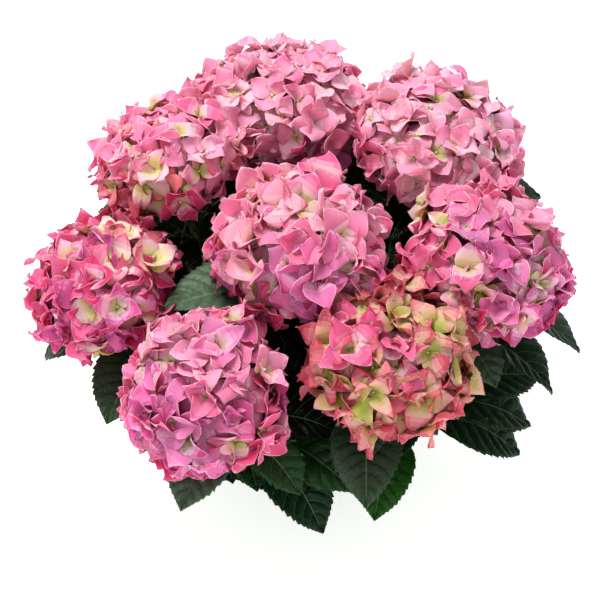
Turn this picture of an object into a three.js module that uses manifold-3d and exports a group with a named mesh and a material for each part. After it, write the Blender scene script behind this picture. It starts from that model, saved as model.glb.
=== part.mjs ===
// A mophead hydrangea shrub: eight flower heads on arching canes that rise from one short woody
// stem at ground level, with opposite pairs of large toothed leaves along every stem and low
// leafy side shoots that fill the skirt. Millimetres, +Z up, origin in the flat ground cut under
// the short stem, -Y the side from which the shrub is usually seen.
//
// Every position follows from the head table and the sizes below, by one seeded rule.

import * as THREE from "three";
import { mergeVertices } from "three/addons/utils/BufferGeometryUtils.js";
import Module from "manifold-3d";

const wasm = await Module();
wasm.setup();

// ---------------------------------------------------------------- driving dimensions

const CLEAR = 0.3; // gap where two pieces of the plant meet
const GOLDEN_ANGLE = Math.PI * (3 - Math.sqrt(5));
const WORLD_UP = new THREE.Vector3(0, 0, 1);
const LIMB_STEPS = 4; // rings along a limb's solid
const LINE_STEPS = 12; // stretches of the line that leaves are tested against
const SEEDS = { leaves: 1000, leavesPerShoot: 100, leavesPerPair: 10, florets: 5000 };
const TINY = 1e-9;

// The short woody stem at ground level, which the canes grow from.
const STEM = {
  height: 46,
  footRadius: 40,
  neckRadius: 27,
  flareHeight: 16,
  flareWaist: 0.35, // share of the flare's height that has a ring of its own
  shoulder: 0.75, // share of the height where the crest starts to round off
  crestShare: 0.78,
  lobes: 5,
  lobeDepth: 0.1,
  lobesAloft: 0.4, // how much of the lobes is left above the flare
  sides: 15,
};

// Where each head's centre stands, its half width across the florets, the reach of one floret
// and the compass turn of the lowest leaf pair on its cane, in degrees.
const HEADS = [
  { name: "back", at: [-20, 185, 338], halfWidth: 93, floretReach: 25, turn: 70 },
  { name: "back_left", at: [-126, 95, 362], halfWidth: 73, floretReach: 20, turn: 150 },
  { name: "back_right", at: [142, 133, 350], halfWidth: 88, floretReach: 24, turn: 20 },
  { name: "left", at: [-178, -31, 318], halfWidth: 76, floretReach: 21, turn: 190 },
  { name: "middle", at: [3, -29, 374], halfWidth: 84, floretReach: 24, turn: 115 },
  { name: "right", at: [174, -24, 345], halfWidth: 84, floretReach: 23, turn: 340 },
  { name: "front_left", at: [-82, -170, 322], halfWidth: 81, floretReach: 23, turn: 255 },
  { name: "front_right", at: [87, -142, 328], halfWidth: 81, floretReach: 23, turn: 285 },
];

const HEAD = {
  heightShare: 0.7, // half height over half width: a mophead is a flattened globe
  leanPerMetre: 125, // degrees of outward lean for each metre from the shrub's axis
  neck: 12, // from the head's lowest florets down to the leafy stem
  coreShare: 0.84, // the core's half width over the head's
  coreDetail: 1,
  florets: 29,
  lowest: -0.45, // sine of the latitude at which the florets end below the head
  crowding: 1.08, // above 1 sets more florets towards the top
  outermost: 0.97, // where the outer layer of florets sits, over the head's half width
  layers: 3, // neighbouring florets sit at different depths, so that they overlap
  layerDepth: 0.045,
  tilt: 0.12,
  pushes: 4, // a floret without room is pushed in by this many steps before it is left out
  pushDepth: 0.06,
  footShare: 0.4, // how far each floret's stalk runs in towards the centre
  press: 1.5, // clearance from the plane where two heads press together
  leafFree: 1.04, // leaves keep outside this share of a head's globe
  poleShift: 0.05, // turns the florets' frame a little off the head's axis
};

const FLORET = {
  notch: 0.6, // the star's inner corners over its reach
  sag: 0.04,
  cup: 0.14, // how far the tips stand up from the centre
  curl: 0.12, // and by how much they differ
  neckWidth: 0.09,
  neckDrop: 0.12,
};

const CANE = {
  baseRing: 18, // radius of the ring of canes where they leave the stem
  baseHeight: 34,
  baseRadius: 6,
  tipRadius: 3.4,
  boughEnd: 0.5, // share of the cane that is bare woody bough
  rise: 95, // how far a cane rises straight up before it bends
  spread: 26,
  neckPull: 85, // how long the cane's top follows the head's own axis
  sides: 6,
};

// Leaf pairs along a flowering cane: place along it, blade length and pitch of the stalk.
const CANE_PAIRS = [
  { along: 0.56, length: 112, pitch: 16 },
  { along: 0.7, length: 118, pitch: 16 },
  { along: 0.84, length: 114, pitch: 14 },
  { along: 0.965, length: 102, pitch: 10 },
];

// Low leafy side shoots: compass direction, how far out and how high the tip stands.
const SIDE_SHOOTS = [
  { toward: 18, out: 112, high: 188, turn: 60 },
  { toward: 70, out: 112, high: 190, turn: 20 },
  { toward: 118, out: 112, high: 192, turn: 70 },
  { toward: 168, out: 116, high: 190, turn: 120 },
  { toward: 220, out: 104, high: 186, turn: 175 },
  { toward: 272, out: 84, high: 176, turn: 230 },
  { toward: 331, out: 122, high: 186, turn: 20 },
];

const SIDE_SHOOT = {
  baseRadius: 4.6,
  tipRadius: 2.6,
  ringRadius: 22,
  ringHeight: 14,
  leaveOut: 0.5, // the shoot leaves the stem level with the ground, over this share of its reach
  leaveUp: 0.12,
  arriveOut: 0.12, // and ends almost upright, over this share of its height
  arriveUp: 0.45,
  boughEnd: 0.38,
  sides: 5,
};

// Leaves that stand open between the heads and round the front of the skirt: their shoot, their
// place along it, compass direction, pitch of the stalk, droop and roll in degrees, and length.
const OPEN_LEAVES = [
  { shoot: "middle", along: 0.965, toward: 200, pitch: 31, droop: 40, roll: 8, length: 118 },
  { shoot: "middle", along: 0.56, toward: 281, pitch: 18, droop: 60, roll: 0, length: 116 },
  { shoot: "front_left", along: 0.84, toward: 248, pitch: 30, droop: 62, roll: 0, length: 100 },
  { shoot: "front_left", along: 0.7, toward: 321, pitch: 30, droop: 60, roll: 0, length: 120 },
  { shoot: "front_left", along: 0.56, toward: 306, pitch: 4, droop: 60, roll: 0, length: 104 },
  { shoot: "front_right", along: 0.84, toward: 269, pitch: 25, droop: 60, roll: 0, length: 104 },
  { shoot: "side_7", along: 0.82, toward: 257, pitch: 10, droop: 60, roll: 0, length: 92 },
  { shoot: "side_7", along: 0.985, toward: 14, pitch: 15, droop: 45, roll: 0, length: 118 },
  { shoot: "side_7", along: 0.9, toward: 352, pitch: 1, droop: 60, roll: 0, length: 112 },
  { shoot: "right", along: 0.84, toward: 343, pitch: 8, droop: 60, roll: -25, length: 116 },
  { shoot: "right", along: 0.965, toward: 355, pitch: 10, droop: 60, roll: -25, length: 116 },
  { shoot: "left", along: 0.84, toward: 249, pitch: 31, droop: 60, roll: 0, length: 104 },
  { shoot: "left", along: 0.965, toward: 172, pitch: -9, droop: 60, roll: 0, length: 100 },
  { shoot: "back_right", along: 0.965, toward: 10, pitch: 20, droop: 60, roll: 0, length: 112 },
  { shoot: "back_right", along: 0.7, toward: 81, pitch: 25, droop: 40, roll: 0, length: 100 },
];

// A leaf without room is turned, raised or shortened a little, this many times, and then left out.
const TRIES = { count: 12, turn: 8, lift: 4, shorten: 0.965 };

const SIDE_PAIRS = [
  { along: 0.44, length: 84, pitch: 26 },
  { along: 0.63, length: 98, pitch: 26 },
  { along: 0.81, length: 102, pitch: 26 },
  { along: 0.985, length: 84, pitch: 40 },
];

const LEAF = {
  widthShare: 0.62, // width over length
  basePower: 0.6, // outline: u^basePower (1 - u)^tipPower
  tipPower: 0.9,
  thickness: 1.5,
  stalk: 26,
  stalkRadius: 1.9,
  stalkTaper: 0.75,
  droop: 62, // degrees that the midrib turns down from base to tip
  fold: 11, // degrees that each half blade is folded up from the midrib
  rows: [0.2, 0.5, 0.8],
  roll: 12,
  sizeSway: 0.08,
  clear: 3, // between blades, and from blade to limb
  stalkClear: 1.5,
  reachShare: 0.6, // no corner is further from the blade's middle than this share of its length
};

// The space that the leaves keep to: a bowl that opens upwards.
const SKIRT = { lowest: 12, footReach: 80, slope: 0.74, widest: 262, back: 34 };

// ---------------------------------------------------------------- seeded numbers and vectors

// A small seeded generator, so that the plant grows the same way every time.
function seeded(seed) {
  let state = seed >>> 0;
  return () => {
    state = (state + 0x6d2b79f5) >>> 0;
    let mixed = Math.imul(state ^ (state >>> 15), state | 1);
    mixed ^= mixed + Math.imul(mixed ^ (mixed >>> 7), mixed | 61);
    return ((mixed ^ (mixed >>> 14)) >>> 0) / 4294967296;
  };
}

const radians = THREE.MathUtils.degToRad;
const vector = (x, y, z) => new THREE.Vector3(x, y, z);
const compass = (degrees) => vector(Math.cos(radians(degrees)), Math.sin(radians(degrees)), 0);

// start + sum of amount * direction, for any number of pairs.
function offset(start, ...steps) {
  const end = start.clone();
  for (const [direction, amount] of steps) end.addScaledVector(direction, amount);
  return end;
}

// ---------------------------------------------------------------- solids

// A closed geometry as a manifold solid, which can be joined and cut.
function solidOf(geometry) {
  const bare = geometry.clone();
  bare.deleteAttribute("normal");
  bare.deleteAttribute("uv");
  const merged = mergeVertices(bare, 1e-3);
  const mesh = new wasm.Mesh({
    numProp: 3,
    vertProperties: merged.attributes.position.array,
    triVerts: new Uint32Array(merged.index.array),
  });
  return new wasm.Manifold(mesh);
}

function polyhedron(points, triangles) {
  return solidOf(new THREE.BufferGeometry().setFromPoints(points).setIndex(triangles.flat()));
}

function geometryOf(solid) {
  const { vertProperties, triVerts } = solid.getMesh();
  return new THREE.BufferGeometry()
    .setAttribute("position", new THREE.BufferAttribute(vertProperties, 3))
    .setIndex(new THREE.BufferAttribute(triVerts, 1));
}

// The pieces fused into one closed body, without loose scraps.
function fused(pieces) {
  const whole = pieces.reduce((all, piece) => all.add(piece));
  const bodies = whole.decompose();
  return bodies.reduce((best, body) => (body.volume() > best.volume() ? body : best));
}

// A closed skin over rings of points, each ring counter-clockwise as seen from the next one. The
// first end is flat, and the last one is flat or drawn to a tip.
function loft(rings, tip = null) {
  const sides = rings[0].length;
  const last = rings.length - 1;
  const points = rings.flat();
  const triangles = [];
  const corner = (ring, k) => ring * sides + (k % sides);
  for (let i = 0; i < last; i += 1) {
    for (let k = 0; k < sides; k += 1) {
      triangles.push([corner(i, k), corner(i, k + 1), corner(i + 1, k + 1)]);
      triangles.push([corner(i, k), corner(i + 1, k + 1), corner(i + 1, k)]);
    }
  }
  for (let k = 1; k < sides - 1; k += 1) {
    triangles.push([corner(0, 0), corner(0, k + 1), corner(0, k)]);
    if (!tip) triangles.push([corner(last, 0), corner(last, k), corner(last, k + 1)]);
  }
  if (tip) {
    points.push(tip);
    for (let k = 0; k < sides; k += 1) {
      triangles.push([corner(last, k), corner(last, k + 1), points.length - 1]);
    }
  }
  return polyhedron(points, triangles);
}

// A tapering limb along a path from one share of it to another, closed by flat ends.
function limb(path, from, to, radiusAt, sides, steps) {
  const rings = [];
  let side = vector(1, 0, 0);
  for (let i = 0; i <= steps; i += 1) {
    const along = from + ((to - from) * i) / steps;
    const tangent = path.getTangent(along);
    side = offset(side, [tangent, -side.dot(tangent)]).normalize();
    const across = tangent.clone().cross(side);
    const centre = path.getPoint(along);
    const radius = radiusAt(along);
    rings.push(Array.from({ length: sides }, (_, k) => {
      const angle = (2 * Math.PI * k) / sides;
      return offset(centre, [side, radius * Math.cos(angle)], [across, radius * Math.sin(angle)]);
    }));
  }
  return loft(rings);
}

// ---------------------------------------------------------------- the short stem

// The short stem, or a copy of it grown by a clearance, which cuts the feet of the canes.
function shortStem(grown = 0) {
  const { height, footRadius, neckRadius, flareHeight, lobes, lobeDepth, sides } = STEM;
  const levels = [0, STEM.flareWaist * flareHeight, flareHeight, STEM.shoulder * height, height];
  const rings = levels.map((level) => {
    const flare = Math.max(0, 1 - level / flareHeight) ** 2;
    const crest = level === height ? STEM.crestShare : 1;
    const rise = level === height ? grown : 0;
    return Array.from({ length: sides }, (_, k) => {
      const angle = (2 * Math.PI * k) / sides;
      const lobe = 1 + lobeDepth * (STEM.lobesAloft + flare) * Math.cos(lobes * angle);
      const radius = (neckRadius + (footRadius - neckRadius) * flare) * crest * lobe + grown;
      return vector(radius * Math.cos(angle), radius * Math.sin(angle), level + rise);
    });
  });
  return loft(rings);
}

// ---------------------------------------------------------------- heads and stems

// Each head's own axes: it leans out from the shrub's axis, more the further out it stands.
function headOf(row) {
  const centre = vector(...row.at);
  const away = vector(centre.x, centre.y, 0);
  const lean = radians((away.length() / 1000) * HEAD.leanPerMetre);
  const axis = offset(WORLD_UP.clone().multiplyScalar(Math.cos(lean)), [away.normalize(), Math.sin(lean)]);
  const side = vector(1, 0, 0).addScaledVector(axis, -axis.x).normalize();
  const halfHeight = row.halfWidth * HEAD.heightShare;
  const neck = offset(centre, [axis, -(halfHeight + HEAD.neck)]);
  return { ...row, centre, axis, side, across: axis.clone().cross(side), halfHeight, neck };
}

// How far out a point lies in a head's globe: under 1 is inside.
function depthIn(head, point) {
  const from = point.clone().sub(head.centre);
  const high = from.dot(head.axis) / head.halfHeight;
  const wide = offset(from, [head.axis, -from.dot(head.axis)]).length() / head.halfWidth;
  return Math.hypot(high, wide);
}

// The canes leave the short stem evenly spread, in the order of their heads round the shrub, with
// the one nearest the axis in the middle.
function caneStarts(heads) {
  const reach = (head) => Math.hypot(head.centre.x, head.centre.y);
  const nearest = heads.reduce((best, head) => (reach(head) < reach(best) ? head : best));
  const angleOf = (head) => Math.atan2(head.centre.y, head.centre.x);
  const ring = heads.filter((head) => head !== nearest).sort((a, b) => angleOf(a) - angleOf(b));
  const first = angleOf(ring[0]);
  const starts = new Map([[nearest, vector(0, 0, CANE.baseHeight)]]);
  ring.forEach((head, i) => {
    const angle = first + (2 * Math.PI * i) / ring.length;
    const out = vector(Math.cos(angle), Math.sin(angle), 0);
    starts.set(head, offset(vector(0, 0, CANE.baseHeight), [out, CANE.baseRing]));
  });
  return starts;
}

function canePath(head, start) {
  const out = vector(start.x, start.y, 0);
  if (out.length() > 0) out.normalize();
  return new THREE.CubicBezierCurve3(
    start,
    offset(start, [WORLD_UP, CANE.rise], [out, CANE.spread]),
    offset(head.neck, [head.axis, -CANE.neckPull]),
    head.neck,
  );
}

function sidePath(row) {
  const out = compass(row.toward);
  const start = offset(vector(0, 0, SIDE_SHOOT.ringHeight), [out, SIDE_SHOOT.ringRadius]);
  const tip = offset(vector(0, 0, row.high), [out, row.out]);
  return new THREE.CubicBezierCurve3(
    start,
    offset(start, [out, row.out * SIDE_SHOOT.leaveOut], [WORLD_UP, row.high * SIDE_SHOOT.leaveUp]),
    offset(tip, [out, -row.out * SIDE_SHOOT.arriveOut], [WORLD_UP, -row.high * SIDE_SHOOT.arriveUp]),
    tip,
  );
}

const taper = (thick, thin) => (along) => thick + (thin - thick) * along;

// ---------------------------------------------------------------- leaves

// One leaf: where its stalk leaves the stem, and the frame and sizes of its blade.
function leafAt(path, { along, toward, pitch, length, droop = LEAF.droop, roll = 0 }) {
  const out = compass(toward);
  const root = path.getPoint(along);
  const steep = radians(pitch);
  const turn = radians(roll);
  const forward = offset(out.clone().multiplyScalar(Math.cos(steep)), [WORLD_UP, Math.sin(steep)]);
  const level = WORLD_UP.clone().cross(out);
  const above = forward.clone().cross(level);
  const leaf = {
    root,
    base: offset(root, [forward, LEAF.stalk]),
    forward,
    side: offset(level.clone().multiplyScalar(Math.cos(turn)), [above, Math.sin(turn)]),
    normal: offset(above.clone().multiplyScalar(Math.cos(turn)), [level, -Math.sin(turn)]),
    bend: radians(droop),
    length,
  };
  leaf.corners = bladeCorners(leaf);
  leaf.middle = bladePoint(leaf, 0.5, 0);
  return leaf;
}

// Half the blade's width at a share of its length, over the widest half width.
function outline(share) {
  const { basePower, tipPower } = LEAF;
  const widest = basePower / (basePower + tipPower);
  const shape = (u) => u ** basePower * (1 - u) ** tipPower;
  return shape(share) / shape(widest);
}

// A point on the blade: share runs from base to tip and across from -1 to 1, edge to edge.
function bladePoint(leaf, share, across, lift = 0) {
  const { bend } = leaf;
  const turn = bend * share;
  const half = 0.5 * LEAF.widthShare * leaf.length * outline(share) * across;
  const fold = radians(LEAF.fold);
  const normal = offset(leaf.normal.clone().multiplyScalar(Math.cos(turn)), [leaf.forward, Math.sin(turn)]);
  return offset(
    leaf.base,
    [leaf.forward, (leaf.length * Math.sin(turn)) / bend],
    [leaf.normal, (-leaf.length * (1 - Math.cos(turn))) / bend],
    [leaf.side, half * Math.cos(fold)],
    [normal, Math.abs(half) * Math.sin(fold) + lift],
  );
}

// The blade's corners: base, three rows of left, middle and right, and tip.
function bladeCorners(leaf) {
  const rows = LEAF.rows.flatMap((share) => [-1, 0, 1].map((across) => bladePoint(leaf, share, across)));
  return [bladePoint(leaf, 0, 0), ...rows, bladePoint(leaf, 1, 0)];
}

const BLADE_TIP = 10;
const BLADE_TRIANGLES = [
  [0, 1, 2],
  [0, 2, 3],
  ...[1, 4].flatMap((row) => [
    [row, row + 4, row + 1],
    [row, row + 3, row + 4],
    [row + 1, row + 5, row + 2],
    [row + 1, row + 4, row + 5],
  ]),
  [7, BLADE_TIP, 8],
  [8, BLADE_TIP, 9],
];

// A leaf as one closed skin: its square stalk widens into the blade, whose two faces meet in a
// sharp edge and stand apart along the midrib.
function leafSolid(leaf) {
  const stalkRing = (centre, radius) => [
    offset(centre, [leaf.side, radius]),
    offset(centre, [leaf.normal, radius]),
    offset(centre, [leaf.side, -radius]),
    offset(centre, [leaf.normal, -radius]),
  ];
  const bladeRing = (share) => [
    bladePoint(leaf, share, 1),
    bladePoint(leaf, share, 0, LEAF.thickness / 2),
    bladePoint(leaf, share, -1),
    bladePoint(leaf, share, 0, -LEAF.thickness / 2),
  ];
  const rings = [
    stalkRing(leaf.root, LEAF.stalkRadius),
    stalkRing(leaf.base, LEAF.stalkRadius * LEAF.stalkTaper),
    ...LEAF.rows.map(bladeRing),
  ];
  return loft(rings, bladePoint(leaf, 1, 0));
}

// ---------------------------------------------------------------- what a leaf has to miss

// Whether the segment from p to q goes through the triangle a, b, c.
function pierces(p, q, a, b, c) {
  const ray = q.clone().sub(p);
  const ab = b.clone().sub(a);
  const ac = c.clone().sub(a);
  const h = ray.clone().cross(ac);
  const det = ab.dot(h);
  if (Math.abs(det) < TINY) return false;
  const from = p.clone().sub(a);
  const u = from.dot(h) / det;
  if (u < 0 || u > 1) return false;
  const g = from.cross(ab);
  const v = ray.dot(g) / det;
  if (v < 0 || u + v > 1) return false;
  const t = ac.dot(g) / det;
  return t >= 0 && t <= 1;
}

function edgesOf(triangles) {
  const pairs = triangles.flatMap(([a, b, c]) => [[a, b], [b, c], [c, a]]);
  const keys = pairs.map(([a, b]) => `${Math.min(a, b)} ${Math.max(a, b)}`);
  return [...new Set(keys)].map((key) => key.split(" ").map(Number));
}

// Whether two sheets, each given by corners, triangles and edges, cut through each other.
function sheetsCross(first, second) {
  const oneWay = (edged, faced) =>
    edged.edges.some(([i, j]) =>
      faced.triangles.some(([a, b, c]) =>
        pierces(edged.corners[i], edged.corners[j], faced.corners[a], faced.corners[b], faced.corners[c])));
  return oneWay(first, second) || oneWay(second, first);
}

const BLADE_EDGES = edgesOf(BLADE_TRIANGLES);

// Whether a sheet comes nearer to a leaf's blade than the clearance, on either side of it.
function meetsBlade(sheet, leaf) {
  return [-LEAF.clear, 0, LEAF.clear].some((shift) => {
    const corners = leaf.corners.map((point) => offset(point, [leaf.normal, shift]));
    return sheetsCross(sheet, { corners, triangles: BLADE_TRIANGLES, edges: BLADE_EDGES });
  });
}

function bladesCross(first, second) {
  const reach = (first.length + second.length) * LEAF.reachShare;
  if (first.middle.distanceTo(second.middle) > reach) return false;
  return meetsBlade({ corners: first.corners, triangles: BLADE_TRIANGLES, edges: BLADE_EDGES }, second);
}

// The least distance between the segments p to q and r to s.
function segmentsApart(p, q, r, s) {
  const first = q.clone().sub(p);
  const second = s.clone().sub(r);
  const between = p.clone().sub(r);
  const [a, b, c] = [first.lengthSq(), first.dot(second), second.lengthSq()];
  const [d, e] = [first.dot(between), second.dot(between)];
  const det = a * c - b * b;
  const clamp = (share) => THREE.MathUtils.clamp(share, 0, 1);
  let along = det > TINY ? clamp((b * e - c * d) / det) : 0;
  const other = clamp((b * along + e) / c);
  along = clamp((b * other - d) / a);
  return offset(between, [first, along], [second, -other]).length();
}

// Whether a leaf's blade comes nearer to a limb's line than the limb's radius and the clearance.
function bladeMeetsLimb({ corners }, limbPoints, radius) {
  const near = radius + LEAF.clear;
  return limbPoints.slice(1).some((q, k) => {
    const p = limbPoints[k];
    return BLADE_EDGES.some(([i, j]) => segmentsApart(p, q, corners[i], corners[j]) < near)
      || BLADE_TRIANGLES.some(([a, b, c]) => pierces(p, q, corners[a], corners[b], corners[c]));
  });
}

// The same for the leaf's stalk.
function stalkMeetsLimb(leaf, limbPoints, radius) {
  const near = radius + LEAF.stalkRadius + LEAF.stalkClear;
  return limbPoints.slice(1).some((q, k) => segmentsApart(limbPoints[k], q, leaf.root, leaf.base) < near);
}

// Whether a point lies outside the bowl that the leaves keep to.
function leavesSkirt(point) {
  const reach = Math.hypot(point.x, point.y - SKIRT.back);
  const allowed = Math.min(SKIRT.widest, SKIRT.footReach + SKIRT.slope * point.z);
  return point.z < SKIRT.lowest || reach > allowed;
}

const stalkLine = (leaf) => [leaf.root, leaf.base];

// ---------------------------------------------------------------- florets

// The florets of a head sit on a spiral over its globe, each with its own tilt and spin. One that
// would cross the plane where two heads press together, or a leaf, is pushed in or left out.
function floretsOf(head, number) {
  const random = seeded(SEEDS.florets + number);
  const inHead = (x, y, z) => offset(vector(0, 0, 0), [head.side, x], [head.across, y], [head.axis, z]);
  const florets = [];
  for (let i = 0; i < HEAD.florets; i += 1) {
    const share = ((i + 0.5) / HEAD.florets) ** HEAD.crowding;
    const high = 1 - share * (1 - HEAD.lowest);
    const wide = Math.sqrt(1 - high * high);
    const turn = i * GOLDEN_ANGLE + radians(head.turn);
    const [x, y] = [wide * Math.cos(turn), wide * Math.sin(turn)];
    const facing = inHead(x / head.halfWidth, y / head.halfWidth, high / head.halfHeight).normalize();
    const right = facing.clone().cross(offset(head.axis, [head.side, HEAD.poleShift])).normalize();
    const up = right.clone().cross(facing);
    const tilt = [random() * 2 - 1, random() * 2 - 1].map((amount) => amount * HEAD.tilt);
    const normal = offset(facing, [right, tilt[0]], [up, tilt[1]]).normalize();
    const spin = random() * Math.PI;
    const curls = Array.from({ length: 4 }, () => FLORET.cup + (random() * 2 - 1) * FLORET.curl);
    for (let pushed = 0; pushed <= HEAD.pushes; pushed += 1) {
      const out = HEAD.outermost - (i % HEAD.layers) * HEAD.layerDepth - pushed * HEAD.pushDepth;
      const place = inHead(x * head.halfWidth, y * head.halfWidth, high * head.halfHeight)
        .multiplyScalar(out).add(head.centre);
      const floret = floretAt(place, normal, spin, head.floretReach, curls);
      floret.foot = place.clone().lerp(head.centre, HEAD.footShare);
      if (pressesNeighbour(head, floret) || meetsAnyLeaf(floret)) continue;
      florets.push(floret);
      break;
    }
  }
  return florets;
}

// One floret: a four-pointed star of sepals, its points curled by different amounts.
function floretAt(place, normal, spin, reach, curls) {
  const side = vector(1, 0, 0).addScaledVector(normal, -normal.x).normalize();
  const across = normal.clone().cross(side);
  const at = (radius, angle, rise) =>
    offset(place, [side, radius * Math.cos(angle)], [across, radius * Math.sin(angle)], [normal, rise]);
  const outline = Array.from({ length: 8 }, (_, k) => {
    const angle = spin + (k * Math.PI) / 4;
    if (k % 2 === 1) return at(reach * FLORET.notch, angle, -reach * FLORET.sag);
    return at(reach, angle, reach * curls[k / 2]);
  });
  const neck = [0, 1, 2].map((k) =>
    at(reach * FLORET.neckWidth, spin + (k * 2 * Math.PI) / 3, -reach * FLORET.neckDrop));
  return { place, reach, corners: [place, ...outline], neck, triangles: STAR_TRIANGLES, edges: STAR_EDGES };
}

const STAR_TRIANGLES = [0, 1, 2, 3, 4, 5, 6, 7].map((k) => [0, 1 + k, 1 + ((k + 1) % 8)]);
const STAR_EDGES = edgesOf(STAR_TRIANGLES);

// Whether a floret reaches past the plane that its head shares with another head.
function pressesNeighbour(head, floret) {
  return heads.some((other) => {
    if (other === head) return false;
    const between = other.centre.clone().sub(head.centre);
    const plane = (between.length() * head.halfWidth) / (head.halfWidth + other.halfWidth);
    between.normalize();
    return floret.corners.some((point) => point.clone().sub(head.centre).dot(between) > plane - HEAD.press);
  });
}

// Whether a floret or its stalk meets a leaf of any shoot.
function meetsAnyLeaf(floret) {
  return shoots.some((shoot) => shoot.leaves.some((leaf) => {
    const near = leaf.length * LEAF.reachShare + floret.reach + LEAF.clear;
    if (leaf.middle.distanceTo(floret.place) > near) return false;
    const stalkHits = BLADE_TRIANGLES.some(([a, b, c]) =>
      pierces(floret.place, floret.foot, leaf.corners[a], leaf.corners[b], leaf.corners[c]));
    return stalkHits || meetsBlade(floret, leaf);
  }));
}

// The floret on its slender three-sided stalk, which ends in a point inside the head's core. Its
// underside zips the eight corners of the star to the three of the stalk's neck.
function floretSolid(floret) {
  const points = [...floret.corners, ...floret.neck, floret.foot];
  const outer = (k) => 1 + (k % 8);
  const inner = (k) => 9 + (k % 3);
  const triangles = [...STAR_TRIANGLES];
  let ring = 0;
  for (let k = 0; k < 8; k += 1) {
    triangles.push([outer(k + 1), outer(k), inner(ring)]);
    if (Math.round(((k + 1) * 3) / 8) > ring) {
      triangles.push([outer(k + 1), inner(ring), inner(ring + 1)]);
      ring += 1;
    }
  }
  for (let k = 0; k < 3; k += 1) triangles.push([inner(k + 1), inner(k), points.length - 1]);
  return polyhedron(points, triangles);
}

// ---------------------------------------------------------------- growing the shrub

const heads = HEADS.map(headOf);
const starts = caneStarts(heads);
const mainShoots = heads.map((head) => ({
  name: head.name,
  path: canePath(head, starts.get(head)),
  radiusAt: taper(CANE.baseRadius, CANE.tipRadius),
  boughEnd: CANE.boughEnd,
  sides: CANE.sides,
  pairs: CANE_PAIRS,
  turn: head.turn,
}));
const sideShoots = SIDE_SHOOTS.map((row, i) => ({
  name: `side_${i + 1}`,
  path: sidePath(row),
  radiusAt: taper(SIDE_SHOOT.baseRadius, SIDE_SHOOT.tipRadius),
  boughEnd: SIDE_SHOOT.boughEnd,
  sides: SIDE_SHOOT.sides,
  pairs: SIDE_PAIRS,
  turn: row.turn,
}));
const shoots = [...mainShoots, ...sideShoots];
for (const shoot of shoots) {
  shoot.line = Array.from({ length: LINE_STEPS + 1 }, (_, i) => shoot.path.getPoint(i / LINE_STEPS));
  shoot.leaves = [];
}

// Whether a leaf of a shoot is clear of the other shoots' limbs and of every leaf grown before it.
function hasRoom(leaf, shoot, grown) {
  const others = shoots.filter((other) => other !== shoot);
  const meetsLimb = ({ line }) =>
    bladeMeetsLimb(leaf, line, CANE.baseRadius) || stalkMeetsLimb(leaf, line, CANE.baseRadius);
  if (others.some(meetsLimb)) return false;
  return !grown.some((other) =>
    bladesCross(leaf, other)
    || bladeMeetsLimb(leaf, stalkLine(other), LEAF.stalkRadius)
    || bladeMeetsLimb(other, stalkLine(leaf), LEAF.stalkRadius));
}

const intoHead = (leaf) =>
  leaf.corners.some((point) => heads.some((head) => depthIn(head, point) < HEAD.leafFree));

// The open leaves first, then the pairs of every shoot in turn from the top down, each leaf kept
// only where its blade has room.
function growLeaves() {
  const grown = [];
  const keep = (leaf, shoot) => {
    grown.push(leaf);
    shoot.leaves.push(leaf);
  };
  for (const row of OPEN_LEAVES) {
    const shoot = shoots.find(({ name }) => name === row.shoot);
    const leaf = leafAt(shoot.path, row);
    if (hasRoom(leaf, shoot, grown)) keep(leaf, shoot);
  }
  const deepest = Math.max(...shoots.map((shoot) => shoot.pairs.length));
  for (let level = 0; level < deepest; level += 1) {
    shoots.forEach((shoot, number) => {
      const index = shoot.pairs.length - 1 - level;
      if (index < 0) return;
      for (const half of [0, 1]) {
        const seed = SEEDS.leaves + SEEDS.leavesPerShoot * number + SEEDS.leavesPerPair * index + half;
        const random = seeded(seed);
        const pair = shoot.pairs[index];
        const facing = shoot.turn + 90 * index + 180 * half;
        for (let turn = 0; turn < TRIES.count; turn += 1) {
          const sway = () => (random() * 2 - 1) * (1 + turn);
          const leaf = leafAt(shoot.path, {
            along: pair.along,
            toward: facing + sway() * TRIES.turn,
            pitch: pair.pitch + sway() * TRIES.lift,
            roll: (random() * 2 - 1) * LEAF.roll,
            length: pair.length * (1 + (random() * 2 - 1) * LEAF.sizeSway) * TRIES.shorten ** turn,
          });
          if (leaf.corners.some(leavesSkirt) || intoHead(leaf)) continue;
          if (!hasRoom(leaf, shoot, grown)) continue;
          keep(leaf, shoot);
          break;
        }
      }
    });
  }
}

growLeaves();

// ---------------------------------------------------------------- the pieces

const bark = new THREE.MeshStandardMaterial({ color: 0x7a6248, roughness: 0.9, metalness: 0 });
const leafGreen = new THREE.MeshStandardMaterial({ color: 0x2f4f33, roughness: 0.5, metalness: 0 });
const petalPink = new THREE.MeshStandardMaterial({ color: 0xe87a9f, roughness: 0.6, metalness: 0 });

const shrub = new THREE.Group();

function addPiece(name, solid, material) {
  const piece = new THREE.Mesh(geometryOf(solid), material);
  piece.name = name;
  shrub.add(piece);
}

// The share of a path that is as long as the clearance between two pieces.
const gapShare = (path) => CLEAR / path.getLength();

function boughSolid(shoot, cutter) {
  const solid = limb(shoot.path, 0, shoot.boughEnd, shoot.radiusAt, shoot.sides, LIMB_STEPS);
  return fused([solid.subtract(cutter)]);
}

function foliageSolid(shoot) {
  const start = shoot.boughEnd + gapShare(shoot.path);
  const stem = limb(shoot.path, start, 1, shoot.radiusAt, shoot.sides, LIMB_STEPS);
  return fused([stem, ...shoot.leaves.map(leafSolid)]);
}

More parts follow.
